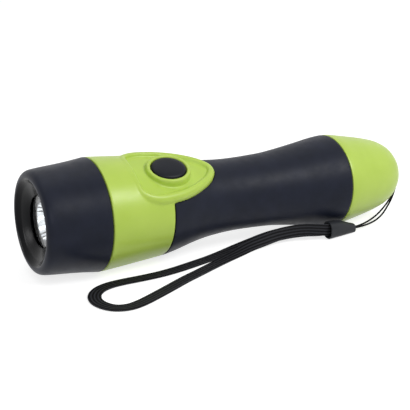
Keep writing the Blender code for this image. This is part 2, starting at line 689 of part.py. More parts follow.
def make_boss():
    base = pad_underside(BUTTON_AT, 0.0) + PAD_THICK / 2
    top = PAD_RIDGE_H + BOSS_RISE
    bore = BUTTON_R + GAP
    foot_r = bore + BOSS_WALL
    outer = [(base, 0.0), (base, foot_r), (top - BOSS_EASE, foot_r - BOSS_EASE / 4),
             (top - BOSS_EASE / 3, foot_r - BOSS_EASE / 2), (top, foot_r - BOSS_EASE),
             (top, bore + BOSS_EASE / 3), (top - BOSS_EASE / 3, bore), (top - BOSS_EASE / 3, 0.0)]
    return oval(turned("boss_body", outer, sides=INNER_SIDES, along="Z", parent=button_joint, collection=CUTTERS))


def make_collar():
    rear = COLLAR_LENGTH - GAP / 2
    front = GAP / 2
    sink_bore = NECK_R - NECK_WALL
    lip_front = SINK_REAR + GAP
    lip_rear = lip_front + SINK_LIP_THICK
    steps = 4
    side = [front + SEAM_CHAMFER + (rear - front - 2 * SEAM_CHAMFER) * step / steps for step in range(steps + 1)]
    outer = [(-NECK_LENGTH, NECK_R), (front, NECK_R), (front, HEAD_R - SEAM_CHAMFER)]
    outer += [(at, collar_radius(at)) for at in side]
    outer += [(rear, COLLAR_REAR_R - SEAM_CHAMFER)]
    wide_at = lip_rear + SINK_LIP_THICK
    inner = [
        (-NECK_LENGTH, sink_bore),
        (lip_front, sink_bore),
        (lip_front, sink_bore - SINK_LIP),
        (lip_rear, sink_bore - SINK_LIP),
        (wide_at, collar_radius(wide_at) - NECK_WALL),
        (BARREL_FRONT - NECK_WALL, collar_radius(BARREL_FRONT) - BARREL_WALL),
        (BARREL_FRONT - GAP, COLLAR_SOCKET_R),
        (rear, COLLAR_SOCKET_R),
    ]
    collar = turned("switch_collar", outer, inner, SHELL_SIDES, parent=axis)
    window = lofted("pad_window", [
        [(at, sideways, height) for at, sideways in pad_outline(-PAD_RIM)]
        for height in (BORE_R, HEAD_R + OVERRUN)
    ], axis, CUTTERS)
    boolean(collar, window, "DIFFERENCE")
    boolean(collar, make_pad(), "UNION")
    boolean(collar, make_boss(), "UNION")
    hole = turned("button_hole", [(SWITCH_TOP_H, 0.0), (SWITCH_TOP_H, BUTTON_R + GAP),
                                  (HEAD_R + OVERRUN, BUTTON_R + GAP), (HEAD_R + OVERRUN, 0.0)],
                  along="Z", parent=button_joint, collection=CUTTERS)
    boolean(collar, oval(hole), "DIFFERENCE")
    finish(collar, new_material("lime_moulded_shell", LIME, 0.38))


def make_button():
    flange_r = BUTTON_R + BUTTON_FLANGE
    flange_top = pad_underside(BUTTON_AT + flange_r * BUTTON_STRETCH_SHARE, flange_r) - GAP
    flange_foot = flange_top - BUTTON_FLANGE_THICK
    dome = [(BUTTON_EDGE_H + BUTTON_DOME * rise, BUTTON_R * reach) for rise, reach in BUTTON_DOME_SHARES]
    bore = BUTTON_R - BUTTON_WALL
    outer = [(BUTTON_CEILING_H, 0.0), (BUTTON_CEILING_H, bore), (flange_foot, bore), (flange_foot, flange_r),
             (flange_top, flange_r), (flange_top, BUTTON_R), *dome]
    button = oval(turned("switch_button", outer, sides=INNER_SIDES, along="Z", parent=button_joint))
    finish(button, new_material("black_button_rubber", (0.012, 0.013, 0.016), 0.55))


def make_plunger():
    top = BUTTON_CEILING_H - GAP
    foot = SWITCH_TOP_H - PLUNGER_DEPTH
    outer = [(foot, 0.0), (foot, PLUNGER_R), (top - PLUNGER_HEAD_THICK, PLUNGER_R),
             (top - PLUNGER_HEAD_THICK, PLUNGER_HEAD_R), (top, PLUNGER_HEAD_R), (top, 0.0)]
    plunger = turned("switch_plunger", outer, sides=SMALL_SIDES, along="Z", parent=button_joint)
    finish(plunger, new_material("white_acetal", (0.85, 0.85, 0.82), 0.4))


def make_switch():
    rear = BULKHEAD_AT - GAP
    front = rear - SWITCH_LENGTH
    foot = SWITCH_TOP_H - SWITCH_HEIGHT
    body = box("switch_body", (front, -SWITCH_WIDTH / 2, foot), (rear, SWITCH_WIDTH / 2, SWITCH_TOP_H), axis)
    body.name = "push_switch"
    edge = body.modifiers.new("edges", "BEVEL")
    edge.width = SWITCH_EDGE
    edge.segments = 1
    bore = turned("switch_bore", [(SWITCH_TOP_H - SWITCH_BORE_DEPTH, 0.0),
                                  (SWITCH_TOP_H - SWITCH_BORE_DEPTH, PLUNGER_R + GAP),
                                  (SWITCH_TOP_H + OVERRUN, PLUNGER_R + GAP), (SWITCH_TOP_H + OVERRUN, 0.0)],
                  sides=SMALL_SIDES, along="Z", parent=button_joint, collection=CUTTERS)
    boolean(body, bore, "DIFFERENCE")
    for number, side in enumerate((-1, 1)):
        middle = side * SWITCH_WIDTH / 4
        height = foot + SWITCH_HEIGHT / 3
        tag = box(f"switch_tag_{number}", (front - TAG_LENGTH, middle - TAG_WIDTH / 2, height),
                  (front + SWITCH_EDGE * 2, middle + TAG_WIDTH / 2, height + TAG_THICK), axis, CUTTERS)
        boolean(body, tag, "UNION")
    finish(body, new_material("black_switch_case", (0.03, 0.03, 0.03), 0.45))


def strip_band(width, low, high, front, rear, name, collection):
    return box(name, (front, -width / 2, -high), (rear, width / 2, -low), axis, collection)


def make_barrel():
    wall = GRIP_WALL + GAP
    skin = grip_profile(wall, GRIP_FRONT, GRIP_REAR, coarse=True)
    spigot_r = COLLAR_SOCKET_R - RUNNING_GAP
    outer = [(BARREL_FRONT, spigot_r), (GRIP_FRONT, spigot_r)] + skin
    outer += [(GRIP_REAR, REAR_SPIGOT_R), (SPIGOT_REAR, REAR_SPIGOT_R)]
    lining = [(at, radius - BARREL_WALL) for at, radius in skin[1:-1]]
    inner = [(BARREL_FRONT, spigot_r - BARREL_WALL), (skin[0][0], spigot_r - BARREL_WALL)]
    inner += lining
    inner += [(GRIP_REAR - BARREL_WALL, REAR_SPIGOT_R - BARREL_WALL), (SPIGOT_REAR, REAR_SPIGOT_R - BARREL_WALL)]
    barrel = turned("barrel", outer, inner, SHELL_SIDES, parent=axis)

    # Everything inside the shell reaches the middle of its wall
    core = [(at, radius - BARREL_WALL / 2) for at, radius in skin]
    rib_front, rib_rear = BULKHEAD_AT, GRIP_REAR - RIB_SHORT
    core = [(at, radius) for at, radius in core if rib_front < at < rib_rear]
    core = [(rib_front - OVERRUN, 0.0), (rib_front - OVERRUN, core[0][1]), *core,
            (rib_rear + OVERRUN, core[-1][1]), (rib_rear + OVERRUN, 0.0)]
    limit = turned("rib_limit", core, sides=SHELL_SIDES, parent=axis, collection=CUTTERS)

    bulkhead_r = spigot_r - BARREL_WALL
    frame = turned("barrel_frame", [(BULKHEAD_AT, 0.0), (BULKHEAD_AT, bulkhead_r),
                                    (BULKHEAD_AT + BULKHEAD_THICK, bulkhead_r),
                                    (BULKHEAD_AT + BULKHEAD_THICK, 0.0)],
                   sides=SHELL_SIDES, parent=axis, collection=CUTTERS)
    for number in range(RIB_COUNT):
        thick = RIB_RAIL_WIDTH if number == 0 else RIB_THICK
        rib = box(f"barrel_rib_{number}", (rib_front + BULKHEAD_THICK / 2, -thick / 2, -HEAD_R),
                  (rib_rear, thick / 2, -BORE_R + RIB_THICK), axis, CUTTERS)
        rib.rotation_euler = (2 * math.pi * number / RIB_COUNT, 0.0, 0.0)
        boolean(frame, rib, "UNION")
    boolean(frame, limit, "INTERSECT")
    bore = turned("cell_bore", [(BULKHEAD_AT + BULKHEAD_THICK, 0.0), (BULKHEAD_AT + BULKHEAD_THICK, BORE_R),
                                (rib_rear + OVERRUN, BORE_R), (rib_rear + OVERRUN, 0.0)],
                  parent=axis, collection=CUTTERS)
    boolean(frame, bore, "DIFFERENCE")
    boolean(barrel, frame, "UNION")
    shelf_top = SWITCH_TOP_H - SWITCH_HEIGHT - GAP
    shelf = box("switch_shelf", (BULKHEAD_AT - SWITCH_LENGTH - TAG_LENGTH, -SHELF_WIDTH / 2, shelf_top - SHELF_THICK),
                (BULKHEAD_AT + BULKHEAD_THICK / 2, SHELF_WIDTH / 2, shelf_top), axis, CUTTERS)
    boolean(barrel, shelf, "UNION")
    groove = strip_band(STRIP_WIDTH + 4 * GAP, BORE_R - OVERRUN, STRIP_H + STRIP_THICK + GAP,
                        BULKHEAD_AT - OVERRUN, rib_rear + OVERRUN, "strip_groove", CUTTERS)
    boolean(barrel, groove, "DIFFERENCE")
    rivet = turned("rivet_hole", [(BULKHEAD_AT - OVERRUN / 3, 0.0), (BULKHEAD_AT - OVERRUN / 3, CONTACT_RIVET_R + GAP),
                                  (BULKHEAD_AT + OVERRUN, CONTACT_RIVET_R + GAP), (BULKHEAD_AT + OVERRUN, 0.0)],
                   sides=SMALL_SIDES, parent=axis, collection=CUTTERS)
    boolean(barrel, rivet, "DIFFERENCE")

    # The pad's tongue lies in a notch of its own, and the button's flange in a well
    def cleared(at, sideways):
        return pad_underside(at, sideways) - GAP

    around = PAD_DRAFT + RUNNING_GAP
    rings = [pad_ring(around, cleared, share) for share in CROWN_SHARES]
    rings += [pad_ring(around, cleared), pad_ring(around, lambda at, sideways: HEAD_R + OVERRUN)]
    notch = lofted("tongue_notch", rings, axis, CUTTERS, mirrored=True)
    boolean(barrel, notch, "DIFFERENCE")
    well_r = BUTTON_R + BUTTON_FLANGE + GAP
    well_foot = SWITCH_TOP_H + GAP
    well = turned("button_well", [(well_foot, 0.0), (well_foot, well_r), (HEAD_R + OVERRUN, well_r),
                                  (HEAD_R + OVERRUN, 0.0)],
                  along="Z", parent=button_joint, collection=CUTTERS)
    boolean(barrel, oval(well), "DIFFERENCE")
    finish(barrel, new_material("black_barrel_plastic", (0.025, 0.026, 0.03), 0.5))


def make_grip():
    outer = grip_profile(0.0, GRIP_FRONT, GRIP_REAR)
    inner = grip_profile(GRIP_WALL, GRIP_FRONT, GRIP_REAR, coarse=True)
    grip = turned("grip_sleeve", outer, inner, SHELL_SIDES, parent=axis)
    cut = lofted("grip_notch", [
        [(at, sideways, height) for at, sideways in pad_outline(PAD_DRAFT + RUNNING_GAP)]
        for height in (BORE_R - OVERRUN, HEAD_R + OVERRUN)
    ], axis, CUTTERS)
    boolean(grip, cut, "DIFFERENCE")
    finish(grip, new_material("black_soft_rubber", BLACK_RUBBER, 0.6))


def make_cell(name, front):
    rear = front + CELL_LENGTH
    shoulder = front + CELL_NUB
    outer = [(front, 0.0), (front, CELL_NUB_R), (shoulder, CELL_NUB_R), (shoulder, CELL_R - CELL_EDGE),
             (shoulder + CELL_EDGE, CELL_R), (rear - CELL_EDGE, CELL_R), (rear, CELL_R - CELL_EDGE), (rear, 0.0)]
    cell = turned(name, outer, parent=axis)
    finish(cell, new_material(name + "_wrap", (0.12, 0.14, 0.18), 0.35, 0.3))


def make_front_contact():
    head_front = BULKHEAD_AT - GAP - CONTACT_THICK
    disc_rear = CONTACT_DISC_AT + CONTACT_THICK
    outer = [(head_front, 0.0), (head_front, CONTACT_HEAD_R), (BULKHEAD_AT - GAP, CONTACT_HEAD_R),
             (BULKHEAD_AT - GAP, CONTACT_RIVET_R), (CONTACT_DISC_AT, CONTACT_RIVET_R),
             (CONTACT_DISC_AT, CONTACT_DISC_R), (disc_rear, CONTACT_DISC_R), (disc_rear, 0.0)]
    contact = turned("front_contact", outer, sides=SMALL_SIDES, parent=axis)
    finish(contact, new_material("brass_rivet", BRASS, 0.3, 1.0))


def make_strip():
    front = BULKHEAD_AT - STRIP_LEAD
    tab = SPIGOT_REAR + RUNNING_GAP
    strip = strip_band(STRIP_WIDTH, STRIP_H, STRIP_H + STRIP_THICK, front, tab + STRIP_THICK, "contact_strip", PARTS)
    foot = strip_band(STRIP_WIDTH, STRIP_H, STRIP_H + STRIP_REACH, tab, tab + STRIP_THICK, "strip_tab", CUTTERS)
    boolean(strip, foot, "UNION")
    finish(strip, new_material("brass_strip", BRASS, 0.35, 1.0))


def make_tail_cap():
    dome = [(TAIL_FRONT + SEAM_CHAMFER + share * (TAIL_LENGTH - SEAM_CHAMFER), reach * TAIL_R)
            for share, reach in DOME_SHARES]
    outer = [(TAIL_FRONT, TAIL_R - SEAM_CHAMFER), *dome]
    inner = [
        (TAIL_FRONT, SEAL_SEAT_R),
        (TAIL_FRONT + SEAL_SEAT_DEPTH, SEAL_SEAT_R),
        (TAIL_FRONT + SEAL_SEAT_DEPTH, REAR_SPIGOT_R + GAP),
        (SHOULDER_REAR, REAR_SPIGOT_R + GAP),
        (SHOULDER_REAR, CUP_R + GAP),
        (CUP_REAR + GAP, CUP_FOOT_R + RUNNING_GAP),
        (CUP_REAR + CHAMBER_SLOPE, CHAMBER_R),
        (CHAMBER_REAR, CHAMBER_FOOT_R),
        (CHAMBER_REAR, EYE_R),
        (EYE_REAR, EYE_R),
        (EYE_REAR, DIMPLE_R - DIMPLE_DRAFT),
        (TAIL_END - SEAM_CHAMFER, DIMPLE_R - SEAM_CHAMFER / 2),
    ]
    cap = turned("tail_cap", [(at - TAIL_FRONT, radius) for at, radius in outer],
                 [(at - TAIL_FRONT, radius) for at, radius in inner], SHELL_SIDES, parent=tail_joint)
    finish(cap, new_material("lime_tail_shell", LIME, 0.38))


def make_tail_seal():
    at = SEAL_SEAT_DEPTH - GAP - SEAL_WIRE_R
    outer, inner = ring_section(at, SEAL_R, SEAL_WIRE_R)
    seal = turned("tail_seal", outer, inner, SHELL_SIDES, parent=tail_joint)
    finish(seal, new_material("black_seal_rubber", (0.015, 0.015, 0.015), 0.7))


def make_contact_cup():
    front, rear = CUP_FRONT - TAIL_FRONT, CUP_REAR - TAIL_FRONT
    outer = [(front, CUP_FLANGE_R), (front + CUP_SHEET, CUP_FLANGE_R), (front + CUP_SHEET, CUP_R),
             (rear, CUP_FOOT_R), (rear, 0.0)]
    inner = [(front, CUP_R - CUP_SHEET), (rear - CUP_SHEET, CUP_FOOT_R - CUP_SHEET), (rear - CUP_SHEET, 0.0)]
    cup = turned("tail_contact_cup", outer, inner, parent=tail_joint)
    finish(cup, new_material("nickelled_steel_cup", STEEL, 0.28, 1.0))


def report_least_gap(name, points, radius, skip):
    """Print the least gap between a tube and itself, over points at least a turn's part away."""
    least = min((first - second).length for number, first in enumerate(points)
                for second in points[number + skip // 2:])
    print(name, "least gap to itself", round((least - 2 * radius) / MM, 2), "mm")


def make_spring():
    front = CELLS_END + GAP + SPRING_WIRE_R
    rear = CUP_REAR - CUP_SHEET - GAP - SPRING_WIRE_R
    count = round(SPRING_TURNS * SPRING_POINTS_PER_TURN)
    curve = bpy.data.curves.new("tail_spring", "CURVE")
    curve.dimensions = "3D"
    curve.bevel_depth = SPRING_WIRE_R
    curve.bevel_resolution = 1
    curve.use_fill_caps = True
    spline = curve.splines.new("POLY")
    spline.points.add(count)
    for step in range(count + 1):
        turn = step / SPRING_POINTS_PER_TURN
        rise = (turn - SPRING_FLAT_TURNS) / (SPRING_TURNS - 2 * SPRING_FLAT_TURNS)
        rise = min(1.0, max(0.0, rise))
        wind = step / count
        at = front + (rear - front) * rise - TAIL_FRONT
        radius = SPRING_TOP_R + (SPRING_BASE_R - SPRING_TOP_R) * wind
        angle = 2 * math.pi * turn
        spline.points[step].co = (at, radius * math.cos(angle), radius * math.sin(angle), 1.0)
    spring = place(bpy.data.objects.new("tail_spring", curve), tail_joint)
    finish(spring, new_material("spring_steel", STEEL, 0.25, 1.0))
    report_least_gap("tail_spring", [Vector(point.co[:3]) for point in spline.points], SPRING_WIRE_R,
                     SPRING_POINTS_PER_TURN)


def make_stop():
    rear = CHAMBER_REAR - GAP - TAIL_FRONT
    front = rear - STOP_LENGTH
    stop = turned("lanyard_stop", [(front, STOP_R), (rear, STOP_R)], [(front, EYE_R), (rear, EYE_R)],
                  sides=SMALL_SIDES, parent=tail_joint)
    finish(stop, new_material("crimped_steel_bead", STEEL, 0.35, 1.0))


def tube(name, points, radius, resolution=2):
    curve = bpy.data.curves.new(name, "CURVE")
    curve.dimensions = "3D"
    curve.bevel_depth = radius
    curve.bevel_resolution = resolution
    curve.use_fill_caps = True
    spline = curve.splines.new("POLY")
    spline.points.add(len(points) - 1)
    for point, place_on_route in zip(spline.points, points):
        point.co = (*place_on_route, 1.0)
    return place(bpy.data.objects.new(name, curve))


def string_points():
    """Two strands side by side from the sleeve to the eye, joined by a turn inside the tail."""
    route = [Vector(point) * MM for point in STRING_ROUTE]
    to_world = axis.matrix_basis
    eye = [to_world @ Vector((at, 0.0, 0.0)) for at in (EYE_REAR, CHAMBER_REAR - STOP_LENGTH)]
    route = catmull(route + eye, 3)
    side_at_end = (to_world.to_3x3() @ Vector((0.0, 1.0, 0.0))).normalized()
    strands = ([], [])
    for number, point in enumerate(route):
        ahead = route[min(number + 1, len(route) - 1)] - route[max(number - 1, 0)]
        level = Vector((-ahead.y, ahead.x, 0.0))
        share = number / (len(route) - 1)
        sideways = level.normalized().lerp(side_at_end, min(1.0, share * share * 1.6)).normalized()
        wander = STRING_SPREAD * (1.0 + 0.9 * math.sin(math.pi * min(1.0, share * 1.9)) ** 2)
        strands[0].append(point - sideways * wander)
        strands[1].append(point + sideways * wander)
    inward = (eye[1] - eye[0]).normalized()
    centre = route[-1]
    bend = []
    for step in range(1, 6):
        angle = math.pi * step / 6
        reach = STRING_TURN_DEPTH * math.sin(angle)
        bend.append(centre - side_at_end * STRING_SPREAD * math.cos(angle) + inward * reach)
    return strands[0] + bend + list(reversed(strands[1]))


def make_string():
    string = tube("lanyard_string", string_points(), STRING_R)
    finish(string, new_material("black_string", (0.01, 0.01, 0.01), 0.8))


def make_sleeve():
    def bulge(share):
        return math.copysign(abs(share) ** SLEEVE_SQUARENESS_SHARE, share)

    rings = []
    for share, narrowing in SLEEVE_SHARES:
        half_width = SLEEVE_MOUTH_HALF_WIDTH + (SLEEVE_END_R - SLEEVE_MOUTH_HALF_WIDTH) * narrowing
        half_height = SLEEVE_MOUTH_HALF_HEIGHT + (SLEEVE_END_R - SLEEVE_MOUTH_HALF_HEIGHT) * narrowing
        centre = SLEEVE_MOUTH.lerp(SLEEVE_END, share) + Vector((0.0, 0.0, half_height))
        ring = []
        for corner in range(SMALL_SIDES):
            angle = 2 * math.pi * (corner + 0.5) / SMALL_SIDES
            out = Vector((0.0, half_width * bulge(math.cos(angle)), half_height * bulge(math.sin(angle))))
            ring.append(centre + out)
        rings.append(ring)
    sleeve = lofted("strap_ferrule", rings)
    half_width = STRAP_THICK * 1.6 + GAP * 2
    half_height = STRAP_WIDTH / 2 + GAP * 2
    middle = SLEEVE_MOUTH.lerp(SLEEVE_END, SLEEVE_SOCKET_DEPTH / 2 / (SLEEVE_END - SLEEVE_MOUTH).length)
    middle.z = SLEEVE_MOUTH.z + SLEEVE_MOUTH_HALF_HEIGHT
    socket = box("ferrule_socket", (SLEEVE_MOUTH.x - OVERRUN, middle.y - half_width, middle.z - half_height),
                 (SLEEVE_MOUTH.x + SLEEVE_SOCKET_DEPTH, middle.y + half_width, middle.z + half_height),
                 collection=CUTTERS)
    boolean(sleeve, socket, "DIFFERENCE")
    finish(sleeve, new_material("dark_grey_sleeve", (0.03, 0.032, 0.035), 0.6))


def make_strap():
    smooth = catmull([(x, y, clearance, angle) for x, y, clearance, angle in STRAP_ROUTE], 2)
    curve = bpy.data.curves.new("wrist_strap", "CURVE")
    curve.dimensions = "3D"
    curve.twist_mode = "Z_UP"
    curve.extrude = (STRAP_WIDTH - STRAP_THICK) / 2
    curve.bevel_depth = STRAP_THICK / 2
    curve.bevel_resolution = 0
    curve.use_fill_caps = True
    spline = curve.splines.new("POLY")
    spline.points.add(len(smooth) - 1)
    for point, (x, y, clearance, angle) in zip(spline.points, smooth):
        stand = math.radians(angle)
        height = curve.extrude * math.sin(stand) + STRAP_THICK / 2 + STRAP_CLEARANCE
        point.co = (x * MM, y * MM, height + clearance * MM, 1.0)
        point.tilt = math.pi / 2 - stand
    strap = place(bpy.data.objects.new("wrist_strap", curve))
    finish(strap, new_material("black_webbing", (0.012, 0.012, 0.013), 0.85))


make_bezel()
make_lens_and_gasket()
make_reflector()
make_emitter()
make_board()
make_board_screws()
make_heat_sink()
make_collar()
make_button()
make_plunger()
make_switch()
make_barrel()
make_grip()
make_cell("battery_front", FRONT_CELL_AT)
make_cell("battery_rear", REAR_CELL_AT)
make_front_contact()
make_strip()
make_tail_cap()
make_tail_seal()
make_contact_cup()
make_spring()
make_stop()
make_string()
make_sleeve()
make_strap()

bpy.context.view_layer.update()
for joint in (axis, bezel_joint, tail_joint, button_joint):
    matrix = joint.matrix_world
    print(joint.name, [round(value, 6) for value in matrix.translation],
          "x", [round(value, 6) for value in matrix.col[0][:3]], "z", [round(value, 6) for value in matrix.col[2][:3]])
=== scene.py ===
# %% [markdown]
# # A rubber-gripped torch with a wrist strap
#
# The torch lies on its side on a pale floor. Its solids are already packed with their
# joints. Here they are loaded as a fixed frame, and every surface that shows is remade
# finer around them, or gets the finish of the real material.

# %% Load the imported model
import json
import math

import bmesh
import bpy
from mathutils import Matrix, Vector


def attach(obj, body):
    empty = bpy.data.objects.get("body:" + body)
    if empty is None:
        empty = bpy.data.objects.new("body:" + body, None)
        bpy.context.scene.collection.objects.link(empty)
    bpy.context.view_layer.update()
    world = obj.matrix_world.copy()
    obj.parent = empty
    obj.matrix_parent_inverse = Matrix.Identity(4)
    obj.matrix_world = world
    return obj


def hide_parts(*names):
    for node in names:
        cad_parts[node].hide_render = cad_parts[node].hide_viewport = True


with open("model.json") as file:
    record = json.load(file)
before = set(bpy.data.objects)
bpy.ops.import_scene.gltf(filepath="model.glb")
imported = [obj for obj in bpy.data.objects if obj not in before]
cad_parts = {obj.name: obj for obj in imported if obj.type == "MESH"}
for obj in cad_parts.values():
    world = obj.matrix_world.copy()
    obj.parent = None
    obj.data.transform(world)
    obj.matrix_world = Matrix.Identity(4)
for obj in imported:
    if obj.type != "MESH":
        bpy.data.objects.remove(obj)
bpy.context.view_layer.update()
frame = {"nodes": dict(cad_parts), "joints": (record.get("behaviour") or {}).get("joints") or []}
MM = 0.001

# %% [markdown]
# ## The torch's own frame
#
# Almost every piece is round about one axis, which runs from the head to the tail. The
# joints already say where it is: the head's thread turns about it, and the button is
# pressed towards it. So the pieces are made in simple coordinates, (along, across, up)
# from the seam behind the head, and one matrix puts them in their place.

# %% Read the axis from the joints
joints = {joint["name"]: joint for joint in frame["joints"]}
along_axis = -Vector(joints["bezel_turn"]["axis"]).normalized()
up_axis = -Vector(joints["button_press"]["axis"]).normalized()
across_axis = up_axis.cross(along_axis)
TORCH = Matrix((along_axis, across_axis, up_axis)).transposed().to_4x4()
TORCH.translation = Vector(joints["bezel_turn"]["pos_m"])
print("torch axis", [round(value, 4) for value in along_axis])

# %% [markdown]
# ## The camera
#
# The photograph looks down on the torch from its head end. A long lens from about half a
# metre gives the same gentle perspective. The view is a place and a direction, so it is
# written as those, and the camera's matrix is built from them.

# %% Set the camera
IMAGE_PIXELS = 410
FOCAL_PIXELS = 1000
SENSOR_WIDTH = 36.0
camera_place = Vector((-0.2330, -0.3940, 0.1700))
camera_forward = Vector((0.4646, 0.8282, -0.3134)).normalized()
camera_right = Vector((0.8721, -0.4893, -0.0001)).normalized()
camera_up = camera_right.cross(camera_forward).normalized()

camera_data = bpy.data.cameras.new("photo_camera")
camera_data.sensor_width = SENSOR_WIDTH
camera_data.lens = SENSOR_WIDTH * FOCAL_PIXELS / IMAGE_PIXELS
camera = bpy.data.objects.new("photo_camera", camera_data)
bpy.context.scene.collection.objects.link(camera)
camera.matrix_world = (
    Matrix.Translation(camera_place)
    @ Matrix((camera_right, camera_up, -camera_forward)).transposed().to_4x4())
bpy.context.scene.camera = camera
print("lens", round(camera_data.lens, 1), "mm")

# %% [markdown]
# ## Small tools for shapes
#
# A few helpers are used by all the pieces. One draws a smooth curve through given points.
# One closes a mesh, points its faces outwards and puts it in the scene. One spins an outline
# about the torch's axis. One pushes a ring of edges along a route, which makes a strap or a
# string.

# %% Curves through points
SIDE_STEPS = 4


def smooth_through(points, steps):
    """Points on a smooth curve through the given ones, with this many steps a span."""
    points = [Vector(point) for point in points]
    padded = [2 * points[0] - points[1], *points, 2 * points[-1] - points[-2]]
    curve = []
    for before, start, end, after in zip(padded, padded[1:], padded[2:], padded[3:]):
        for step in range(steps):
            t = step / steps
            curve.append(0.5 * (2 * start + (end - before) * t
                                + (2 * before - 5 * start + 4 * end - after) * t * t
                                + (3 * start - before - 3 * end + after) * t ** 3))
    curve.append(points[-1])
    return curve


def smooth_side(points):
    """The same for the side of a turned piece, given as (along, radius) points."""
    curve = smooth_through([(at, radius, 0.0) for at, radius in points], SIDE_STEPS)
    return [(point.x, point.y) for point in curve]


def part_way(value, start, end):
    """How far a value has come from start to end, kept between 0 and 1."""
    return min(1.0, max(0.0, (value - start) / (end - start)))


# %% Put a finished mesh in the scene
SHARP_ANGLE = math.radians(38.0)
SAME_PLACE = 0.002 * MM
SLIVER = 0.001 * MM
AS_DRAWN = Matrix.Identity(4)


def settle(shape, name, place=TORCH, flat=False):
    """Close a mesh, point its faces outwards, and link it with its place in its mesh."""
    bmesh.ops.remove_doubles(shape, verts=shape.verts, dist=SAME_PLACE)
    bmesh.ops.dissolve_degenerate(shape, edges=shape.edges, dist=SLIVER)
    bmesh.ops.recalc_face_normals(shape, faces=shape.faces)
    bmesh.ops.transform(shape, matrix=place, verts=shape.verts)
    mesh = bpy.data.meshes.new(name)
    shape.to_mesh(mesh)
    shape.free()
    if not flat:
        mesh.shade_smooth()
        mesh.set_sharp_from_angle(angle=SHARP_ANGLE)
    piece = bpy.data.objects.new(name, mesh)
    bpy.context.scene.collection.objects.link(piece)
    return piece


def tell(piece):
    """Print how many faces a piece has, and how large it is along x, y and z."""
    spans = [[corner.co[axis] / MM for corner in piece.data.vertices] for axis in range(3)]
    sides = [round(max(span) - min(span), 1) for span in spans]
    print(piece.name, len(piece.data.polygons), "faces", sides, "mm")


# %% Spin an outline about an axis
ROUND_STEPS = 128
CORNER_STEPS = 4


def outline(points, rounded=None, closed=True):
    """A wire of (along, radius) points in millimetres, with some corners rounded."""
    shape = bmesh.new()
    corners = [shape.verts.new((at * MM, 0.0, radius * MM)) for at, radius in points]
    for first, second in zip(corners, corners[1:]):
        shape.edges.new((first, second))
    if closed:
        shape.edges.new((corners[-1], corners[0]))
    for number, radius in (rounded or {}).items():
        bmesh.ops.bevel(shape, geom=[corners[number]], affect="VERTICES", offset=radius * MM,
                        offset_type="OFFSET", segments=CORNER_STEPS, profile=0.5, material=-1)
    return shape


def spun(shape, steps=ROUND_STEPS, axis=(1.0, 0.0, 0.0)):
    """Turn the wire in the mesh once round the axis, joined where it meets itself."""
    bmesh.ops.spin(shape, geom=shape.verts[:] + shape.edges[:], cent=(0.0, 0.0, 0.0), axis=axis,
                   dvec=(0.0, 0.0, 0.0), angle=2 * math.pi, steps=steps, use_merge=True)
    return shape


# %% Push a ring along a route
def push_on(shape, edges):
    """Extrude a ring of edges, and give back the new ring's edges and corners."""
    made = bmesh.ops.extrude_edge_only(shape, edges=edges)["geom"]
    corners = {part for part in made if isinstance(part, bmesh.types.BMVert)}
    ring = [part for part in made if isinstance(part, bmesh.types.BMEdge) and set(part.verts) <= corners]
    return ring, corners


def swept(section, frames, name):
    """Carry a closed ring of (sideways, up) points through the frames, and close both ends.

    Two numbers stay with each corner for the woven finishes: its way along the route and
    its way round or across the section, in metres.
    """
    shape = bmesh.new()
    way_along = shape.verts.layers.float.new("along")
    way_round = shape.verts.layers.float.new("round")
    ring = [shape.verts.new(frames[0] @ Vector((0.0, sideways, up))) for sideways, up in section]
    total = 0.0
    for number, corner in enumerate(ring):
        corner[way_round] = total
        total += (Vector(section[(number + 1) % len(section)]) - Vector(section[number])).length
    shape.faces.new(ring)
    edges = shape.edges[:]
    gone = 0.0
    for before, after in zip(frames, frames[1:]):
        edges, corners = push_on(shape, edges)
        bmesh.ops.transform(shape, matrix=after @ before.inverted(), verts=list(corners))
        gone += (after.translation - before.translation).length
        for corner in corners:
            corner[way_along] = gone
    bmesh.ops.contextual_create(shape, geom=edges)
    return settle(shape, name, AS_DRAWN)


def heading(points, number):
    """The direction in which a route runs at one of its points."""
    return (points[min(number + 1, len(points) - 1)] - points[max(number - 1, 0)]).normalized()


def frame_at(point, ahead, side):
    """A matrix at a point, whose x runs ahead and whose y runs to the side."""
    placed = Matrix((ahead, side, ahead.cross(side))).transposed().to_4x4()
    placed.translation = point
    return placed


def route_length(points):
    return sum((second - first).length for first, second in zip(points, points[1:]))


# %% [markdown]
# ## Small tools for finishes
#
# Colours are written as the hex values that a paint chart or a photo editor shows, and
# one function turns them into the linear numbers that a shader needs. A second function
# adds one node, with its settings and what goes into its sockets. Every pattern is in
# object space, and its scale comes from a size in millimetres.

# %% Colours and nodes
def colour(code):
    """A linear colour from an sRGB hex code."""
    channels = [int(code[place:place + 2], 16) / 255 for place in (1, 3, 5)]
    return (*[c / 12.92 if c <= 0.04045 else ((c + 0.055) / 1.055) ** 2.4 for c in channels], 1.0)


def add_node(tree, kind, settings=None, inputs=None):
    """Add one node. An input has a socket's name or number, and a value or an output to link."""
    node = tree.nodes.new(kind)
    for name, value in (settings or {}).items():
        setattr(node, name, value)
    for socket, value in (inputs or {}).items():
        if isinstance(value, bpy.types.NodeSocket):
            tree.links.new(value, node.inputs[socket])
        else:
            node.inputs[socket].default_value = value
    return node


def new_finish(name, fixed):
    """A material whose shader has these constant values, with its tree to draw patterns in."""
    material = bpy.data.materials.new(name)
    material.use_nodes = True
    shader = material.node_tree.nodes["Principled BSDF"]
    for socket, value in fixed.items():
        shader.inputs[socket].default_value = value
    return material, material.node_tree, shader


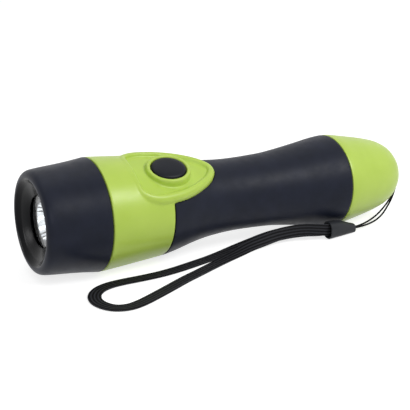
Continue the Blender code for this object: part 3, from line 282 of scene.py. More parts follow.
# %% Patterns
def grain(tree, size_mm, detail=3.0):
    """Cloudy noise in object space whose spots are about this many millimetres across."""
    spot = add_node(tree, "ShaderNodeTexCoord").outputs["Object"]
    return add_node(tree, "ShaderNodeTexNoise", inputs={
        "Vector": spot, "Scale": 1.0 / (size_mm * MM), "Detail": detail, "Roughness": 0.55}).outputs["Fac"]


def ramp(tree, pattern, low, high, start=0.3, end=0.7):
    """Blend two values or colours by a pattern between two of its levels."""
    share = add_node(tree, "ShaderNodeMapRange", inputs={
        "Value": pattern, "From Min": start, "From Max": end,
        "To Min": 0.0, "To Max": 1.0}).outputs["Result"]
    if isinstance(low, str):
        # The colour version of Mix has its share at socket 0 and its two colours at 6 and 7
        return add_node(tree, "ShaderNodeMix", {"data_type": "RGBA"},
                        {0: share, 6: colour(low), 7: colour(high)}).outputs[2]
    return add_node(tree, "ShaderNodeMapRange", inputs={
        "Value": share, "To Min": low, "To Max": high}).outputs["Result"]


def uneven(tree, shader, tones, tone_mm, shines, shine_mm):
    """Let the colour and the roughness drift between two values, over spots of these sizes."""
    tree.links.new(ramp(tree, grain(tree, tone_mm), *tones), shader.inputs["Base Color"])
    tree.links.new(ramp(tree, grain(tree, shine_mm), *shines), shader.inputs["Roughness"])


def bump(tree, shader, height, depth_mm, strength):
    """Raise the surface by a pattern; depth_mm is what a full swing of it stands for."""
    raised = add_node(tree, "ShaderNodeBump", inputs={
        "Height": height, "Distance": depth_mm * MM, "Strength": strength})
    tree.links.new(raised.outputs["Normal"], shader.inputs["Normal"])


# %% [markdown]
# ## Finishes of the shell
#
# The torch has three kinds of skin. The head and the grip are overmoulded with soft
# black rubber, which is matt and a little bluish. The switch collar and the tail cap are
# lime green ABS, which is smooth with a satin shine. The button is a firmer, darker rubber.
# Each could be one flat colour, but a little unevenness in tone and shine is what tells
# the eye that it is a moulded thing of a few centimetres.

# %% Black overmoulded rubber
RUBBER_CLOUD_MM, RUBBER_SHINE_MM = 9.0, 4.0
RUBBER_GRAIN_DEPTH_MM = 0.03


def soft_rubber(name, low, high, shine_low, shine_high, grain_mm, specular=0.15):
    """Thermoplastic rubber, spark-eroded in the mould: matt, with a fine even grain."""
    material, tree, shader = new_finish(name, {"IOR": 1.5, "Specular IOR Level": specular})
    uneven(tree, shader, (low, high), RUBBER_CLOUD_MM, (shine_low, shine_high), RUBBER_SHINE_MM)
    bump(tree, shader, grain(tree, grain_mm, 2.0), RUBBER_GRAIN_DEPTH_MM, 0.35)
    return material


# The grip is the mattest, so that its long highlight stays soft
GRIP_RUBBER = soft_rubber("overmoulded_grip_rubber", "#121622", "#191D2B", 0.40, 0.50, 0.35)
# The head is handled more, and a little smoother
HEAD_RUBBER = soft_rubber("overmoulded_head_rubber", "#121622", "#191D2B", 0.36, 0.45, 0.35)
# The funnel inside the lip is polished, with small clear reflections; its near-black colour, darker than the
# head's rubber, is painted shade in the recess
FUNNEL_PAINTED_SHADE_RUBBER = soft_rubber("polished_funnel_rubber_painted_shade", "#050609", "#090A0E", 0.20, 0.26, 0.35, 0.10)
# The button is a greyer black, so that it stands out from the blue of the grip
BUTTON_RUBBER = soft_rubber("moulded_button_rubber", "#11131A", "#171A22", 0.36, 0.44, 0.3)


# %% Lime moulded plastic
def lime_abs(name):
    """Injection-moulded ABS: saturated colour, a satin shine, light scattering just inside."""
    material, tree, shader = new_finish(name, {
        "IOR": 1.53, "Specular IOR Level": 0.38, "Subsurface Weight": 0.12, "Subsurface Scale": 0.6 * MM,
        "Subsurface Radius": (0.8, 1.0, 0.2)})
    uneven(tree, shader, ("#AEC94E", "#B6D058"), 18.0, (0.30, 0.38), 5.0)
    bump(tree, shader, grain(tree, 0.6, 2.0), 0.012, 0.3)
    return material


LIME_SHELL = lime_abs("moulded_lime_abs")
SHELL_FINISHES = (GRIP_RUBBER, HEAD_RUBBER, FUNNEL_PAINTED_SHADE_RUBBER, BUTTON_RUBBER, LIME_SHELL)
print("shell finishes:", [material.name for material in SHELL_FINISHES])

# %% [markdown]
# ## The wrist strap
#
# A loop of flat black webbing, 6 mm wide and 1 mm thick, woven from polyester yarn. It
# leaves the sleeve on its edge, leans over on the way and lies flat round its far end.
# It could be a curve with an extrusion, but a mesh that carries its own length lets the
# weave follow the band. It follows the solid strap, and where the band stands on edge it
# leans and rises a little more, as stiff webbing does near the place that holds it.

# %% The strap's route
STRAP_WIDTH = 6.0
STRAP_THICK = 1.0
STRAP_CLEARANCE = 0.1
STRAP_STEPS = 4
# Each row is x, y and the lift in millimetres, then how far the band leans up on its
# edge, in degrees, with a sign for the side that rises
STRAP_ROUTE = (
    (50.1, -20.9, 1.55, -90), (45.0, -21.3, 1.9, -90), (39.5, -20.2, 2.6, -90), (34.0, -18.2, 3.0, -90),
    (28.0, -16.5, 2.8, -86), (20.0, -15.0, 1.9, -72), (12.0, -14.6, 0.8, -52), (4.0, -15.4, 0.2, -32),
    (-4.0, -18.0, 0, -16), (-13.0, -21.4, 0, -5), (-22.0, -25.2, 0, 0), (-31.0, -29.2, 0, 0),
    (-41.0, -33.6, 0, 0), (-51.0, -38.6, 0, 0), (-60.0, -43.0, 0, 0), (-68.0, -46.6, 0, 0),
    (-74.5, -48.2, 0, 0), (-80.0, -46.6, 0, 0), (-83.4, -42.0, 0, 0), (-84.4, -36.2, 0, 0),
    (-82.6, -30.2, 0, 0), (-78.4, -25.6, 0, 0), (-72.6, -23.2, 0, 0), (-65.6, -22.6, 0, 0),
    (-57.0, -22.8, 0, 0), (-48.0, -22.6, 0, 0), (-39.0, -21.4, 0, 0), (-30.0, -19.4, 0, 0),
    (-21.0, -17.2, 0, 0), (-12.0, -15.0, 0, 4), (-3.0, -13.0, 0, 14), (6.0, -12.0, 0.1, 30),
    (14.0, -12.1, 0.5, 50), (22.0, -12.8, 1.0, 70), (29.5, -14.2, 1.3, 84), (36.0, -16.2, 1.4, 90),
    (40.5, -18.5, 1.5, 90), (45.0, -19.7, 1.55, 90), (50.1, -19.4, 1.55, 90),
)


def strap_line():
    """The centreline in metres, and a frame at each point whose y is the band's width."""
    line, leans = [], []
    for x, y, lift, degrees in smooth_through(STRAP_ROUTE, STRAP_STEPS):
        lean = math.radians(degrees)
        height = (STRAP_WIDTH - STRAP_THICK) / 2 * abs(math.sin(lean)) + STRAP_THICK / 2 + STRAP_CLEARANCE
        line.append(Vector((x, y, height + lift)) * MM)
        leans.append(lean)
    frames = []
    for number, lean in enumerate(leans):
        ahead = heading(line, number)
        level = frame_at(line[number], ahead, Vector((0.0, 0.0, 1.0)).cross(ahead).normalized())
        frames.append(level @ Matrix.Rotation(lean, 4, "X"))
    return line, frames


strap_points, strap_frames = strap_line()
print("strap", round(route_length(strap_points) / MM), "mm long")

# %% Weave the band
# The upper side of the section, as shares of half the width and half the thickness: thick
# rounded selvedges, with a flatter weave between them
BAND_SHARES = ((-1.0, 0.0), (-0.94, 0.72), (-5 / 6, 1.0), (-0.5, 0.86), (0.0, 0.82), (0.5, 0.86),
               (5 / 6, 1.0), (0.94, 0.72), (1.0, 0.0))
half_width, half_thick = STRAP_WIDTH / 2 * MM, STRAP_THICK / 2 * MM
band_over = [(half_width * across, half_thick * through) for across, through in BAND_SHARES]
band_under = [(across, -through) for across, through in reversed(band_over[1:-1])]
strap = swept(band_over + band_under, strap_frames, "wrist_strap_webbing")
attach(strap, "tail_carriage")
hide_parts("wrist_strap")
tell(strap)

# %% [markdown]
# ## The string
#
# A thin braided cord, 0.9 mm thick, is doubled through a hole in the end of the tail cap.
# Both strands come out of the sleeve and sag side by side before they climb round the
# cap. Inside the cap they meet in a tight turn, behind a crimped bead. Two cords would
# leave two loose ends there, so one route runs up one strand and back down the other.

# %% The string's route
STRING_R = 0.45
STRING_SPREAD = 0.7
STRING_TURN_DEPTH = 3.2
STRING_TURN_STEPS = 6
ROUTE_STEPS, STRAND_STEPS = 3, 2
STRANDS_BEHIND = Vector((0.49, 0.87, 0.0))
# Shares of the way up where the strands bulge apart, pass one behind the other, and line
# up with the hole
BULGE_END, BULGE_SHARE = 1 / 1.9, 0.9
BEHIND_START, BEHIND_END = 0.2, 0.2 + 1 / 3
EYE_START = 0.75
EYE_REAR = 166.55
TURN_START = 160.55
STRING_ROUTE = (
    (62.8, -18.8, 2.45), (67.4, -17.9, 2.2), (73.0, -16.4, 2.2), (78.8, -14.4, 2.6), (84.4, -12.4, 4.0),
    (89.4, -10.4, 6.4), (93.8, -8.6, 9.3), (97.4, -6.6, 12.4), (100.6, -4.2, 15.7), (102.3, -1.8, 18.9),
    (101.8, -0.3, 21.2), (99.5, 0.0, 21.9),
)


def string_line():
    """Two strands side by side from the sleeve to the eye, joined by a turn inside the cap."""
    eye = [TORCH @ Vector((at * MM, 0.0, 0.0)) for at in (EYE_REAR, TURN_START)]
    route = smooth_through([Vector(point) * MM for point in STRING_ROUTE] + eye, ROUTE_STEPS)
    strands = ([], [])
    for number, point in enumerate(route):
        ahead = heading(route, number)
        share = number / (len(route) - 1)
        level = Vector((-ahead.y, ahead.x, 0.0)).normalized()
        behind = (STRANDS_BEHIND - ahead * STRANDS_BEHIND.dot(ahead)).normalized()
        sideways = level.lerp(behind, part_way(share, BEHIND_START, BEHIND_END))
        sideways = sideways.lerp(across_axis, part_way(share, EYE_START, 1.0)).normalized()
        bulge = math.sin(math.pi * part_way(share, 0.0, BULGE_END)) ** 2
        spread = STRING_SPREAD * MM * (1.0 + BULGE_SHARE * bulge)
        strands[0].append(point - sideways * spread)
        strands[1].append(point + sideways * spread)
    inward = (eye[1] - eye[0]).normalized()
    bend = []
    for step in range(1, STRING_TURN_STEPS):
        angle = math.pi * step / STRING_TURN_STEPS
        reach = STRING_TURN_DEPTH * MM * math.sin(angle)
        bend.append(route[-1] - across_axis * STRING_SPREAD * MM * math.cos(angle) + inward * reach)
    return smooth_through(strands[0] + bend + list(reversed(strands[1])), STRAND_STEPS)


string_points = string_line()
print("string", round(route_length(string_points) / MM), "mm long, doubled")


# %% Draw the string
STRING_SIDES = 12


def ring_section(radius, corners):
    """A circle of (sideways, up) points, from a circle that the mesh tools make."""
    circle = bmesh.new()
    bmesh.ops.create_circle(circle, radius=radius, segments=corners)
    points = [(corner.co.x, corner.co.y) for corner in circle.verts]
    circle.free()
    return points


def steady_frames(points):
    """Frames that turn as little as they can from one point to the next, for a round cord."""
    frames = []
    up = Vector((0.0, 0.0, 1.0))
    for number, point in enumerate(points):
        ahead = heading(points, number)
        up = (up - ahead * up.dot(ahead)).normalized()
        frames.append(frame_at(point, ahead, up.cross(ahead)))
    return frames


string = swept(ring_section(STRING_R * MM, STRING_SIDES), steady_frames(string_points),
               "lanyard_string_braid")
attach(string, "tail_carriage")
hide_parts("lanyard_string")
tell(string)

# %% [markdown]
# ## The sleeve
#
# A small moulded sleeve joins the flat strap to the string. Its mouth is a rounded
# rectangle that takes the strap on its edge, and it narrows to a round nose. It could be
# a cone, but the real one keeps its height for half its length. The same push along a
# route makes it, with frames that shrink. The ring starts at the bottom of the socket,
# comes out to the mouth and turns back over the outside, which leaves a wall.

# %% Shape the sleeve
SLEEVE_MOUTH = Vector((45.5, -20.6, 0.15))
SLEEVE_END = Vector((62.5, -18.8, 0.15))
SLEEVE_LENGTH = (SLEEVE_END - SLEEVE_MOUTH).length
MOUTH_HALF_WIDTH, MOUTH_HALF_HEIGHT, NOSE_R = 3.65, 4.35, 2.25
SLEEVE_SIDES = 32
# A circle's coordinates to this power make a rounded rectangle
SLEEVE_SQUARENESS = 0.8
SOCKET_DEPTH = 4.8
# Each row is a share of the length and how much of the outer size is kept there
SOCKET_SHARES = ((SOCKET_DEPTH / SLEEVE_LENGTH, 0.8), (0.03, 0.8), (0.0, 0.85), (-0.01, 0.92))
# Each row is a share of the length and how far the sleeve has narrowed there
NARROWING_SHARES = ((0.0, 0.0), (0.1, 0.01), (0.25, 0.05), (0.4, 0.16), (0.55, 0.33), (0.7, 0.56),
                    (0.85, 0.8), (0.95, 0.92), (1.0, 1.0))
NOSE_KEPT_SHARE, NOSE_STEP = 0.82, 0.3


def squared(value):
    return math.copysign(abs(value) ** SLEEVE_SQUARENESS, value) * MM


def sleeve_frame(share, narrowing, kept=1.0):
    """The ring at a share of the length: its centre, and its half width and half height."""
    half_width = MOUTH_HALF_WIDTH + (NOSE_R - MOUTH_HALF_WIDTH) * narrowing
    half_height = MOUTH_HALF_HEIGHT + (NOSE_R - MOUTH_HALF_HEIGHT) * narrowing
    centre = SLEEVE_MOUTH.lerp(SLEEVE_END, share) + Vector((0.0, 0.0, half_height))
    size = Matrix.Diagonal((1.0, half_width * kept, half_height * kept, 1.0))
    return Matrix.Translation(centre * MM) @ size


sleeve_frames = [sleeve_frame(share, 0.0, kept) for share, kept in SOCKET_SHARES]
sleeve_frames += [sleeve_frame(share, narrowing) for share, narrowing in NARROWING_SHARES]
nose = sleeve_frame(1.0, 1.0, NOSE_KEPT_SHARE)
sleeve_frames.append(nose @ Matrix.Translation((NOSE_STEP * MM, 0.0, 0.0)))
sleeve_section = [(squared(sideways), squared(up)) for sideways, up in ring_section(1.0, SLEEVE_SIDES)]
sleeve = swept(sleeve_section, sleeve_frames, "strap_sleeve")
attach(sleeve, "tail_carriage")
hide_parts("strap_ferrule")
tell(sleeve)

# %% [markdown]
# ### What the cords are
#
# The strap and the string are the torch's two cords, and their names are printed. The strap
# is seen from end to end, and the string up to the cap, so nothing of them is wound up.

print("cords:", strap.name, string.name)

# %% [markdown]
# ## The head
#
# The head is one rubber-covered ring. Its side swells a little towards the seam, its lip
# is rounded, and inside the lip a shallow polished funnel leads down to the lens. It could
# be a tube with bevelled edges, but the swell and the lip are curves, so the whole of it is
# one outline, spun about the axis, with only the sharper corner inside the lip rounded.

# %% Spin the head
HEAD_R = 25.92
FUNNEL_CORNER_R = 0.5
HEAD_SIDE = ((-0.55, 25.9), (-4.0, 25.45), (-7.7, 24.95), (-12.0, 24.5), (-16.8, 24.08), (-21.5, 23.7),
             (-24.8, 23.35), (-26.5, 22.95), (-27.6, 22.2), (-28.2, 21.2), (-28.38, 20.3))
HEAD_BORE = ((-27.7, 18.9), (-26.35, 17.2), (-24.35, 11.75), (-24.15, 11.55), (-23.72, 11.6),
             (-23.72, 20.9), (-18.6, 20.9), (-18.6, 22.7), (-0.15, 22.7), (-0.15, 25.5))
head_side = smooth_side(HEAD_SIDE) + [(-28.3, 19.6)]
head_outline = outline([*head_side, *HEAD_BORE], {len(head_side) + 1: FUNNEL_CORNER_R})
head = settle(spun(head_outline), "head_shell")
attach(head, "bezel")
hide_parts("head_bezel")
tell(head)

# %% [markdown]
# ## The lens and the reflector
#
# The lens is a plain disc of clear plastic behind the funnel. The reflector behind it is a
# plastic bowl with a vacuum-metallised face, pressed into narrow ribs that run from the
# rim to the lamp. The ribs break up the beam, and they show as bright stripes. They could
# be painted on with a bump, but real ribs throw their own reflections, so every second
# line of the spun bowl is drawn in a little, and the faces between them stay flat.

# %% Spin the lens
lens = settle(spun(outline([(-23.4, 0.0), (-23.4, 20.2), (-23.1, 20.5), (-22.6, 20.5), (-22.3, 20.2),
                            (-22.3, 0.0)], closed=False)), "lens_disc")
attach(lens, "bezel")
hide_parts("lens_window")
tell(lens)

# %% The reflector's outline
BOWL_FOCUS = 2.1
BOWL_VERTEX = -9.614
BOWL_WALL = 1.4
BOWL_RIM_R, BOWL_HOLE_R = 10.2, 3.3
BOWL_STEPS = 14
FLANGE_AT, NECK_AT = -18.5, -10.95


def bowl_point(radius, wall=0.0):
    """A point of the parabola, or this far behind it."""
    slope = radius / (2 * BOWL_FOCUS)
    across = math.hypot(1.0, slope)
    return (BOWL_VERTEX - radius ** 2 / (4 * BOWL_FOCUS) + wall / across, radius + wall * slope / across)


bowl_radii = [BOWL_RIM_R + (BOWL_HOLE_R - BOWL_RIM_R) * step / BOWL_STEPS for step in range(BOWL_STEPS + 1)]
bowl_face = [bowl_point(radius) for radius in bowl_radii]
bowl_back = [bowl_point(radius, BOWL_WALL) for radius in reversed(bowl_radii)]
bowl_back = [(at, radius) for at, radius in bowl_back if FLANGE_AT < at < NECK_AT]
bowl_flange = [(FLANGE_AT, 12.4), (FLANGE_AT, 20.5), (-19.8, 20.5), (-19.8, 12.4), (-22.0, 12.4)]
print("bowl", round(BOWL_VERTEX - bowl_face[0][0], 1), "mm deep")

# %% Spin the reflector and rib its face
BOWL_FACETS = 60
RIB_DEPTH = 0.24
RIB_FADE_AT_RIM, RIB_FADE_AT_HOLE = 0.6, 1.5
ON_FACE = 0.05

reflector_shape = spun(outline([*bowl_face, (-10.911, 4.7), *bowl_back, *bowl_flange]), BOWL_FACETS)
for corner in reflector_shape.verts:
    along, radius = corner.co.x / MM, math.hypot(corner.co.y, corner.co.z) / MM
    line = round(math.atan2(corner.co.y, corner.co.z) * BOWL_FACETS / (2 * math.pi))
    on_face = abs(along - bowl_point(radius)[0]) < ON_FACE and BOWL_HOLE_R < radius < BOWL_RIM_R + 0.01
    if on_face and line % 2:
        fade = min(1.0, (BOWL_RIM_R - radius) / RIB_FADE_AT_RIM, (radius - BOWL_HOLE_R) / RIB_FADE_AT_HOLE)
        corner.co.yz = corner.co.yz * (1.0 - RIB_DEPTH * fade / radius)
reflector = settle(reflector_shape, "faceted_reflector", flat=True)
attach(reflector, "torch_body")
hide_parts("reflector")
tell(reflector)

# %% [markdown]
# ### The trim ring
#
# A thin black ring lies between the lens and the rim of the bowl. It hides the flat
# flange, so that only the ribbed face shines through the lens.

# %% Spin the trim ring
trim = settle(spun(outline([(-22.27, 8.65), (-22.27, 12.3), (-22.03, 12.3), (-22.03, 10.0), (-21.4, 9.7),
                            (-21.4, 8.7), (-21.9, 8.5)])), "lens_trim_ring")
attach(trim, "torch_body")
tell(trim)

# %% [markdown]
# ## The switch collar
#
# This is the piece that takes the most skill. A lime ring carries a shield-shaped pad,
# which rides over the ring at the front and reaches back over the grip as a tongue. The
# pad has a soft raised rim, a sunken floor and an oval boss round the button, and every
# foot of it flows into what it stands on.
#
# It could be one subdivided cage, but a cage hardly follows a ring and an oval at once.
# Instead, sharp solids are joined: the ring, with a window cut in it, the pad and the boss.
# Then the whole is made anew from small cubes and smoothed, which melts the joints into
# fillets, as the cutter leaves them in a steel mould.

# %% The pad's outline
PAD_FRONT, PAD_LENGTH, PAD_HALF_WIDTH = 14.4, 41.8, 15.0
# Half of the rim's crest, as shares of the length and of the half width
PAD_SHARES = ((0.0, 0.0), (0.006, 0.5), (0.055, 0.84), (0.22, 1.0), (0.45, 0.94), (0.67, 0.765),
              (0.87, 0.475), (0.975, 0.2), (1.0, 0.0))
PAD_STEPS = 5


def pad_outline(offset):
    """The rim's crest as (along, across) points, moved outwards by the offset."""
    side = [Vector((share * PAD_LENGTH, reach * PAD_HALF_WIDTH, 0.0)) for share, reach in PAD_SHARES]
    ring = side + [Vector((point.x, -point.y, 0.0)) for point in reversed(side[1:-1])]
    ring = smooth_through([ring[-1], *ring, ring[0], ring[1]], PAD_STEPS)[PAD_STEPS:-PAD_STEPS - 1]
    moved = []
    for number, point in enumerate(ring):
        ahead = (ring[(number + 1) % len(ring)] - ring[number - 1]).normalized()
        moved.append((PAD_FRONT + point.x - ahead.y * offset, point.y + ahead.x * offset))
    return moved


print("pad outline:", len(pad_outline(0.0)), "points")

# %% The pad's heights
PAD_RIDGE_AT, PAD_RIDGE_H = 24.0, 22.4
PAD_PITCH = math.radians(4.0)
PAD_CROWN_R = 60.0
PAD_FLOOR_DEPTH, PAD_THICK = 1.7, 2.0
RIM_LIFT, RIM_BLEND = 0.4, 1.6
COLLAR_LENGTH = 31.1
COLLAR_TAPER, COLLAR_BELLY = 2.55, 1.1


def collar_radius(at):
    """The ring's outer radius, which falls slowly and then faster towards the grip."""
    return HEAD_R - COLLAR_TAPER * max(0.0, at / COLLAR_LENGTH) ** COLLAR_BELLY


def pad_crown(at, across):
    """The pad's gentle arch, which slopes down towards the tail."""
    return PAD_RIDGE_H - math.tan(PAD_PITCH) * (at - PAD_RIDGE_AT) - across ** 2 / (2 * PAD_CROWN_R)


def pad_rim_height(at, across):
    """The rim follows the crown, and rides over the ring where that is higher."""
    crown = pad_crown(at, across)
    if at > COLLAR_LENGTH:
        return crown
    ring = math.sqrt(max(0.0, collar_radius(at) ** 2 - across ** 2)) + RIM_LIFT
    return (crown + ring + math.hypot(crown - ring, RIM_BLEND)) / 2 - RIM_BLEND / 4


# %% Grow the pad ring by ring
# Each row is the offset from the crest in millimetres, the height, as a share of the way
# from the floor (0) to the rim (1), a drop below that in millimetres, and how much of the
# width is kept
PAD_RINGS = (
    (1.8, 0.0, PAD_THICK, 0.0), (1.8, 0.0, PAD_THICK, 0.35), (1.8, 0.0, PAD_THICK, 0.7),
    (1.8, 0.0, PAD_THICK, 1.0), (1.8, 1.0, 1.9, 1.0), (1.55, 1.0, 1.15, 1.0), (1.15, 1.0, 0.6, 1.0),
    (0.65, 1.0, 0.22, 1.0), (0.1, 1.0, 0.02, 1.0), (-0.45, 1.0, 0.0, 1.0), (-0.95, 1.0, 0.12, 1.0),
    (-1.35, 0.82, 0.0, 1.0), (-1.65, 0.5, 0.0, 1.0), (-1.9, 0.2, 0.0, 1.0), (-2.2, 0.03, 0.0, 1.0),
    (-2.3, 0.0, 0.0, 0.93), (-2.3, 0.0, 0.0, 0.7), (-2.3, 0.0, 0.0, 0.35), (-2.3, 0.0, 0.0, 0.0),
)


def pad_places(offset, share, drop, kept):
    """Where one ring's corners go."""
    places = []
    for at, across in pad_outline(offset):
        across *= kept
        floor = pad_crown(at, across) - PAD_FLOOR_DEPTH
        height = floor + (pad_rim_height(at, across) - floor) * share - drop
        places.append(Vector((at, across, height)) * MM)
    return places


def make_pad():
    """The closed pad: from under the middle, out to the rim, over it and in to the floor."""
    shape = bmesh.new()
    number_of = shape.verts.layers.int.new("corner")
    ring = [shape.verts.new(place) for place in pad_places(*PAD_RINGS[0])]
    for number, corner in enumerate(ring):
        corner[number_of] = number
    edges = [shape.edges.new((ring[number - 1], ring[number])) for number in range(len(ring))]
    for row in PAD_RINGS[1:]:
        places = pad_places(*row)
        edges, corners = push_on(shape, edges)
        for corner in corners:
            corner.co = places[corner[number_of]]
    return settle(shape, "pad_solid", AS_DRAWN)


# %% Tools for cutting and joining
BUTTON_AT = 33.85
BUTTON_STRETCH = 1.19
BUTTON_STEPS = 96
BOSS_STEPS = 64
OVAL = Matrix.Translation((BUTTON_AT * MM, 0.0, 0.0)) @ Matrix.Diagonal((BUTTON_STRETCH, 1.0, 1.0, 1.0))
CUTTER_TOP = 40.0


def upright(points, steps=BOSS_STEPS):
    """An outline of (height, radius) points, spun about the button's axis and made oval."""
    wire = outline([(radius, height) for height, radius in points], closed=False)
    shape = spun(wire, steps, (0.0, 0.0, 1.0))
    bmesh.ops.transform(shape, matrix=OVAL, verts=shape.verts)
    return shape


def prism(offset, low):
    """The pad's outline moved outwards, as an upright block that cuts from low to the top."""
    shape = bmesh.new()
    ring = [shape.verts.new((at * MM, across * MM, low * MM)) for at, across in pad_outline(offset)]
    top = bmesh.ops.extrude_face_region(shape, geom=[shape.faces.new(ring)])["geom"]
    bmesh.ops.translate(shape, vec=(0.0, 0.0, (CUTTER_TOP - low) * MM),
                        verts=[part for part in top if isinstance(part, bmesh.types.BMVert)])
    return settle(shape, "pad_prism", AS_DRAWN)


def joined(operation, tool):
    return ("BOOLEAN", {"operation": operation, "solver": "EXACT", "object": tool})


def worked(target, steps):
    """Run modifiers on a piece, keep the mesh they leave, and remove the tools they used."""
    for kind, settings in steps:
        modifier = target.modifiers.new(kind.lower(), kind)
        for setting, value in settings.items():
            setattr(modifier, setting, value)
    bpy.context.view_layer.update()
    mesh = bpy.data.meshes.new_from_object(target.evaluated_get(bpy.context.evaluated_depsgraph_get()))
    tools = [settings["object"] for _, settings in steps if "object" in settings]
    for thing in [target, *tools]:
        bpy.data.objects.remove(thing, do_unlink=True)
    shape = bmesh.new()
    shape.from_mesh(mesh)
    bpy.data.meshes.remove(mesh)
    return shape


# %% The collar's sharp solids
HOLE_R = 7.3
collar_side = [(at, collar_radius(at)) for at in (0.55, 4.0, 8.0, 12.0, 16.0, 20.0, 24.0, 27.5, 30.55)]
collar_ring = settle(spun(outline([(0.15, 25.5), *collar_side, (30.95, 22.95), (30.95, 21.65), (22.5, 21.65),
                                   (20.0, 22.8), (0.15, 22.9)])), "collar_ring", AS_DRAWN)
boss = settle(upright([(18.0, 0.0), (18.0, 9.3), (20.6, 9.2), (22.2, 8.95), (22.65, 8.75), (22.9, 8.35),
                       (22.9, 7.6), (22.6, 7.2), (22.6, 0.0)]), "boss_solid", AS_DRAWN)
hole = settle(upright([(10.0, 0.0), (10.0, HOLE_R), (CUTTER_TOP, HOLE_R), (CUTTER_TOP, 0.0)]),
              "button_hole", AS_DRAWN)
for solid in (collar_ring, boss, hole):
    tell(solid)

# %% Join and melt the collar
WINDOW_OFFSET, WINDOW_FLOOR = -1.2, 12.0
MELT_MM = 0.38
MELT_SMOOTHINGS = 3
MELT_STRENGTH = 0.5
collar_shape = worked(collar_ring, [
    joined("DIFFERENCE", prism(WINDOW_OFFSET, WINDOW_FLOOR)), joined("UNION", make_pad()),
    joined("UNION", boss), joined("DIFFERENCE", hole),
    ("REMESH", {"mode": "VOXEL", "voxel_size": MELT_MM * MM})])
for _ in range(MELT_SMOOTHINGS):
    bmesh.ops.smooth_vert(collar_shape, verts=collar_shape.verts, factor=MELT_STRENGTH,
                          use_axis_x=True, use_axis_y=True, use_axis_z=True)
collar = settle(collar_shape, "switch_collar_shell")
tell(collar)

# %% The neck inside the head
NECK_SIDE = ((-18.2, 22.1), (-17.9, 22.4), (0.1, 22.4), (0.1, 19.6), (-18.2, 19.6))
neck = settle(spun(outline(NECK_SIDE)), "collar_neck")
for piece in (collar, neck):
    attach(piece, "torch_body")
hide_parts("switch_collar")
tell(neck)

# %% [markdown]
# ## The button
#
# A low rubber dome, oval like the boss round it. It could be a flattened sphere, but the
# real one is nearly flat on top. So it is a spun outline that is stretched along the
# torch, with a rounded edge where a thumb meets it and a flange below that keeps it in.

# %% Spin the button
button = settle(upright([(22.0, 0.0), (22.0, 5.1), (16.0, 5.1), (16.0, 6.9), (22.2, 6.95), (22.75, 6.8),
                         (23.1, 6.45), (23.36, 5.8), (23.56, 4.6), (23.7, 3.2), (23.78, 1.6), (23.8, 0.0)],
                        BUTTON_STEPS), "thumb_button")
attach(button, "button")
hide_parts("switch_button")
tell(button)

# %% [markdown]
# ## The grip and the tail cap
#
# The grip is a rubber tube with a waist, notched for the collar's tongue. The tail cap is
# a blunt dome with a dimple at its tip, where the string comes out. Both could be lathed
# from a block, and spinning an outline is the same idea. The notch is cut with the pad's
# own outline, a little wider, so that it runs evenly round the tongue.

# %% Spin the grip and cut its notch
GRIP_SIDE = ((31.25, 23.0), (31.6, 23.3), (35.0, 22.7), (38.6, 21.95), (45.5, 20.28), (50.7, 19.2),
             (55.6, 18.4), (60.7, 17.9), (66.0, 17.5), (72.2, 17.36), (78.0, 17.4), (84.0, 17.6),
             (91.8, 17.98), (99.5, 18.85), (107.4, 19.98), (115.2, 21.18), (122.0, 22.3), (127.0, 22.85),
             (128.5, 22.9), (128.85, 22.6))
GRIP_WALL = 1.35
NOTCH_OFFSET, NOTCH_FLOOR = 2.15, 8.0
grip_inside = [(at, radius - GRIP_WALL) for at, radius in reversed(GRIP_SIDE[2:-2])]
grip_tube = settle(spun(outline([*smooth_side(GRIP_SIDE), (128.85, 21.6), *grip_inside, (31.25, 22.0)])),
                   "grip_tube", AS_DRAWN)
grip = settle(worked(grip_tube, [joined("DIFFERENCE", prism(NOTCH_OFFSET, NOTCH_FLOOR))]), "grip_rubber")
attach(grip, "torch_body")
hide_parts("grip_sleeve")
tell(grip)

# %% Spin the tail cap
TAIL_SIDE = ((129.2, 22.5), (129.6, 22.9), (132.8, 22.66), (136.5, 22.02), (140.2, 21.35), (144.0, 20.65),
             (147.7, 19.95), (151.4, 19.15), (155.2, 18.2), (158.9, 17.0), (162.6, 15.2), (165.0, 13.4),
             (167.2, 11.2), (168.8, 8.9), (169.7, 6.8), (170.12, 5.2), (170.0, 4.6))
TAIL_INSIDE = ((169.4, 4.3), (167.0, 3.9), (166.55, 3.5), (166.55, 1.6), (163.55, 1.6), (163.55, 7.5),
               (158.95, 12.6), (156.05, 14.8), (141.35, 16.2), (141.35, 18.7), (130.85, 18.7),
               (130.85, 20.4), (129.2, 20.4))
tail = settle(spun(outline([*smooth_side(TAIL_SIDE), *TAIL_INSIDE])), "tail_dome")
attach(tail, "tail")
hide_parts("tail_cap")
tell(tail)

# %% [markdown]
# ## Woven and braided finishes
#
# The band is woven of thick threads that run along it in ribs, with a fine twill between
# them. An image of cloth would do, but it would have to be laid on by hand. Two waves give
# both instead. They read the numbers that the pushed ring left on the mesh, so they
# follow every bend. Real ribs are about 0.5 mm apart. They are drawn at 1.5 mm, because
# finer ones would blur away in the picture.

# %% Webbing and string
# The ribs are real bumps, but their paler colour is a painted highlight
RIB_MM = 1.5
TWILL_SHARE = 0.3
WEAVE_DEPTH_MM = 0.12


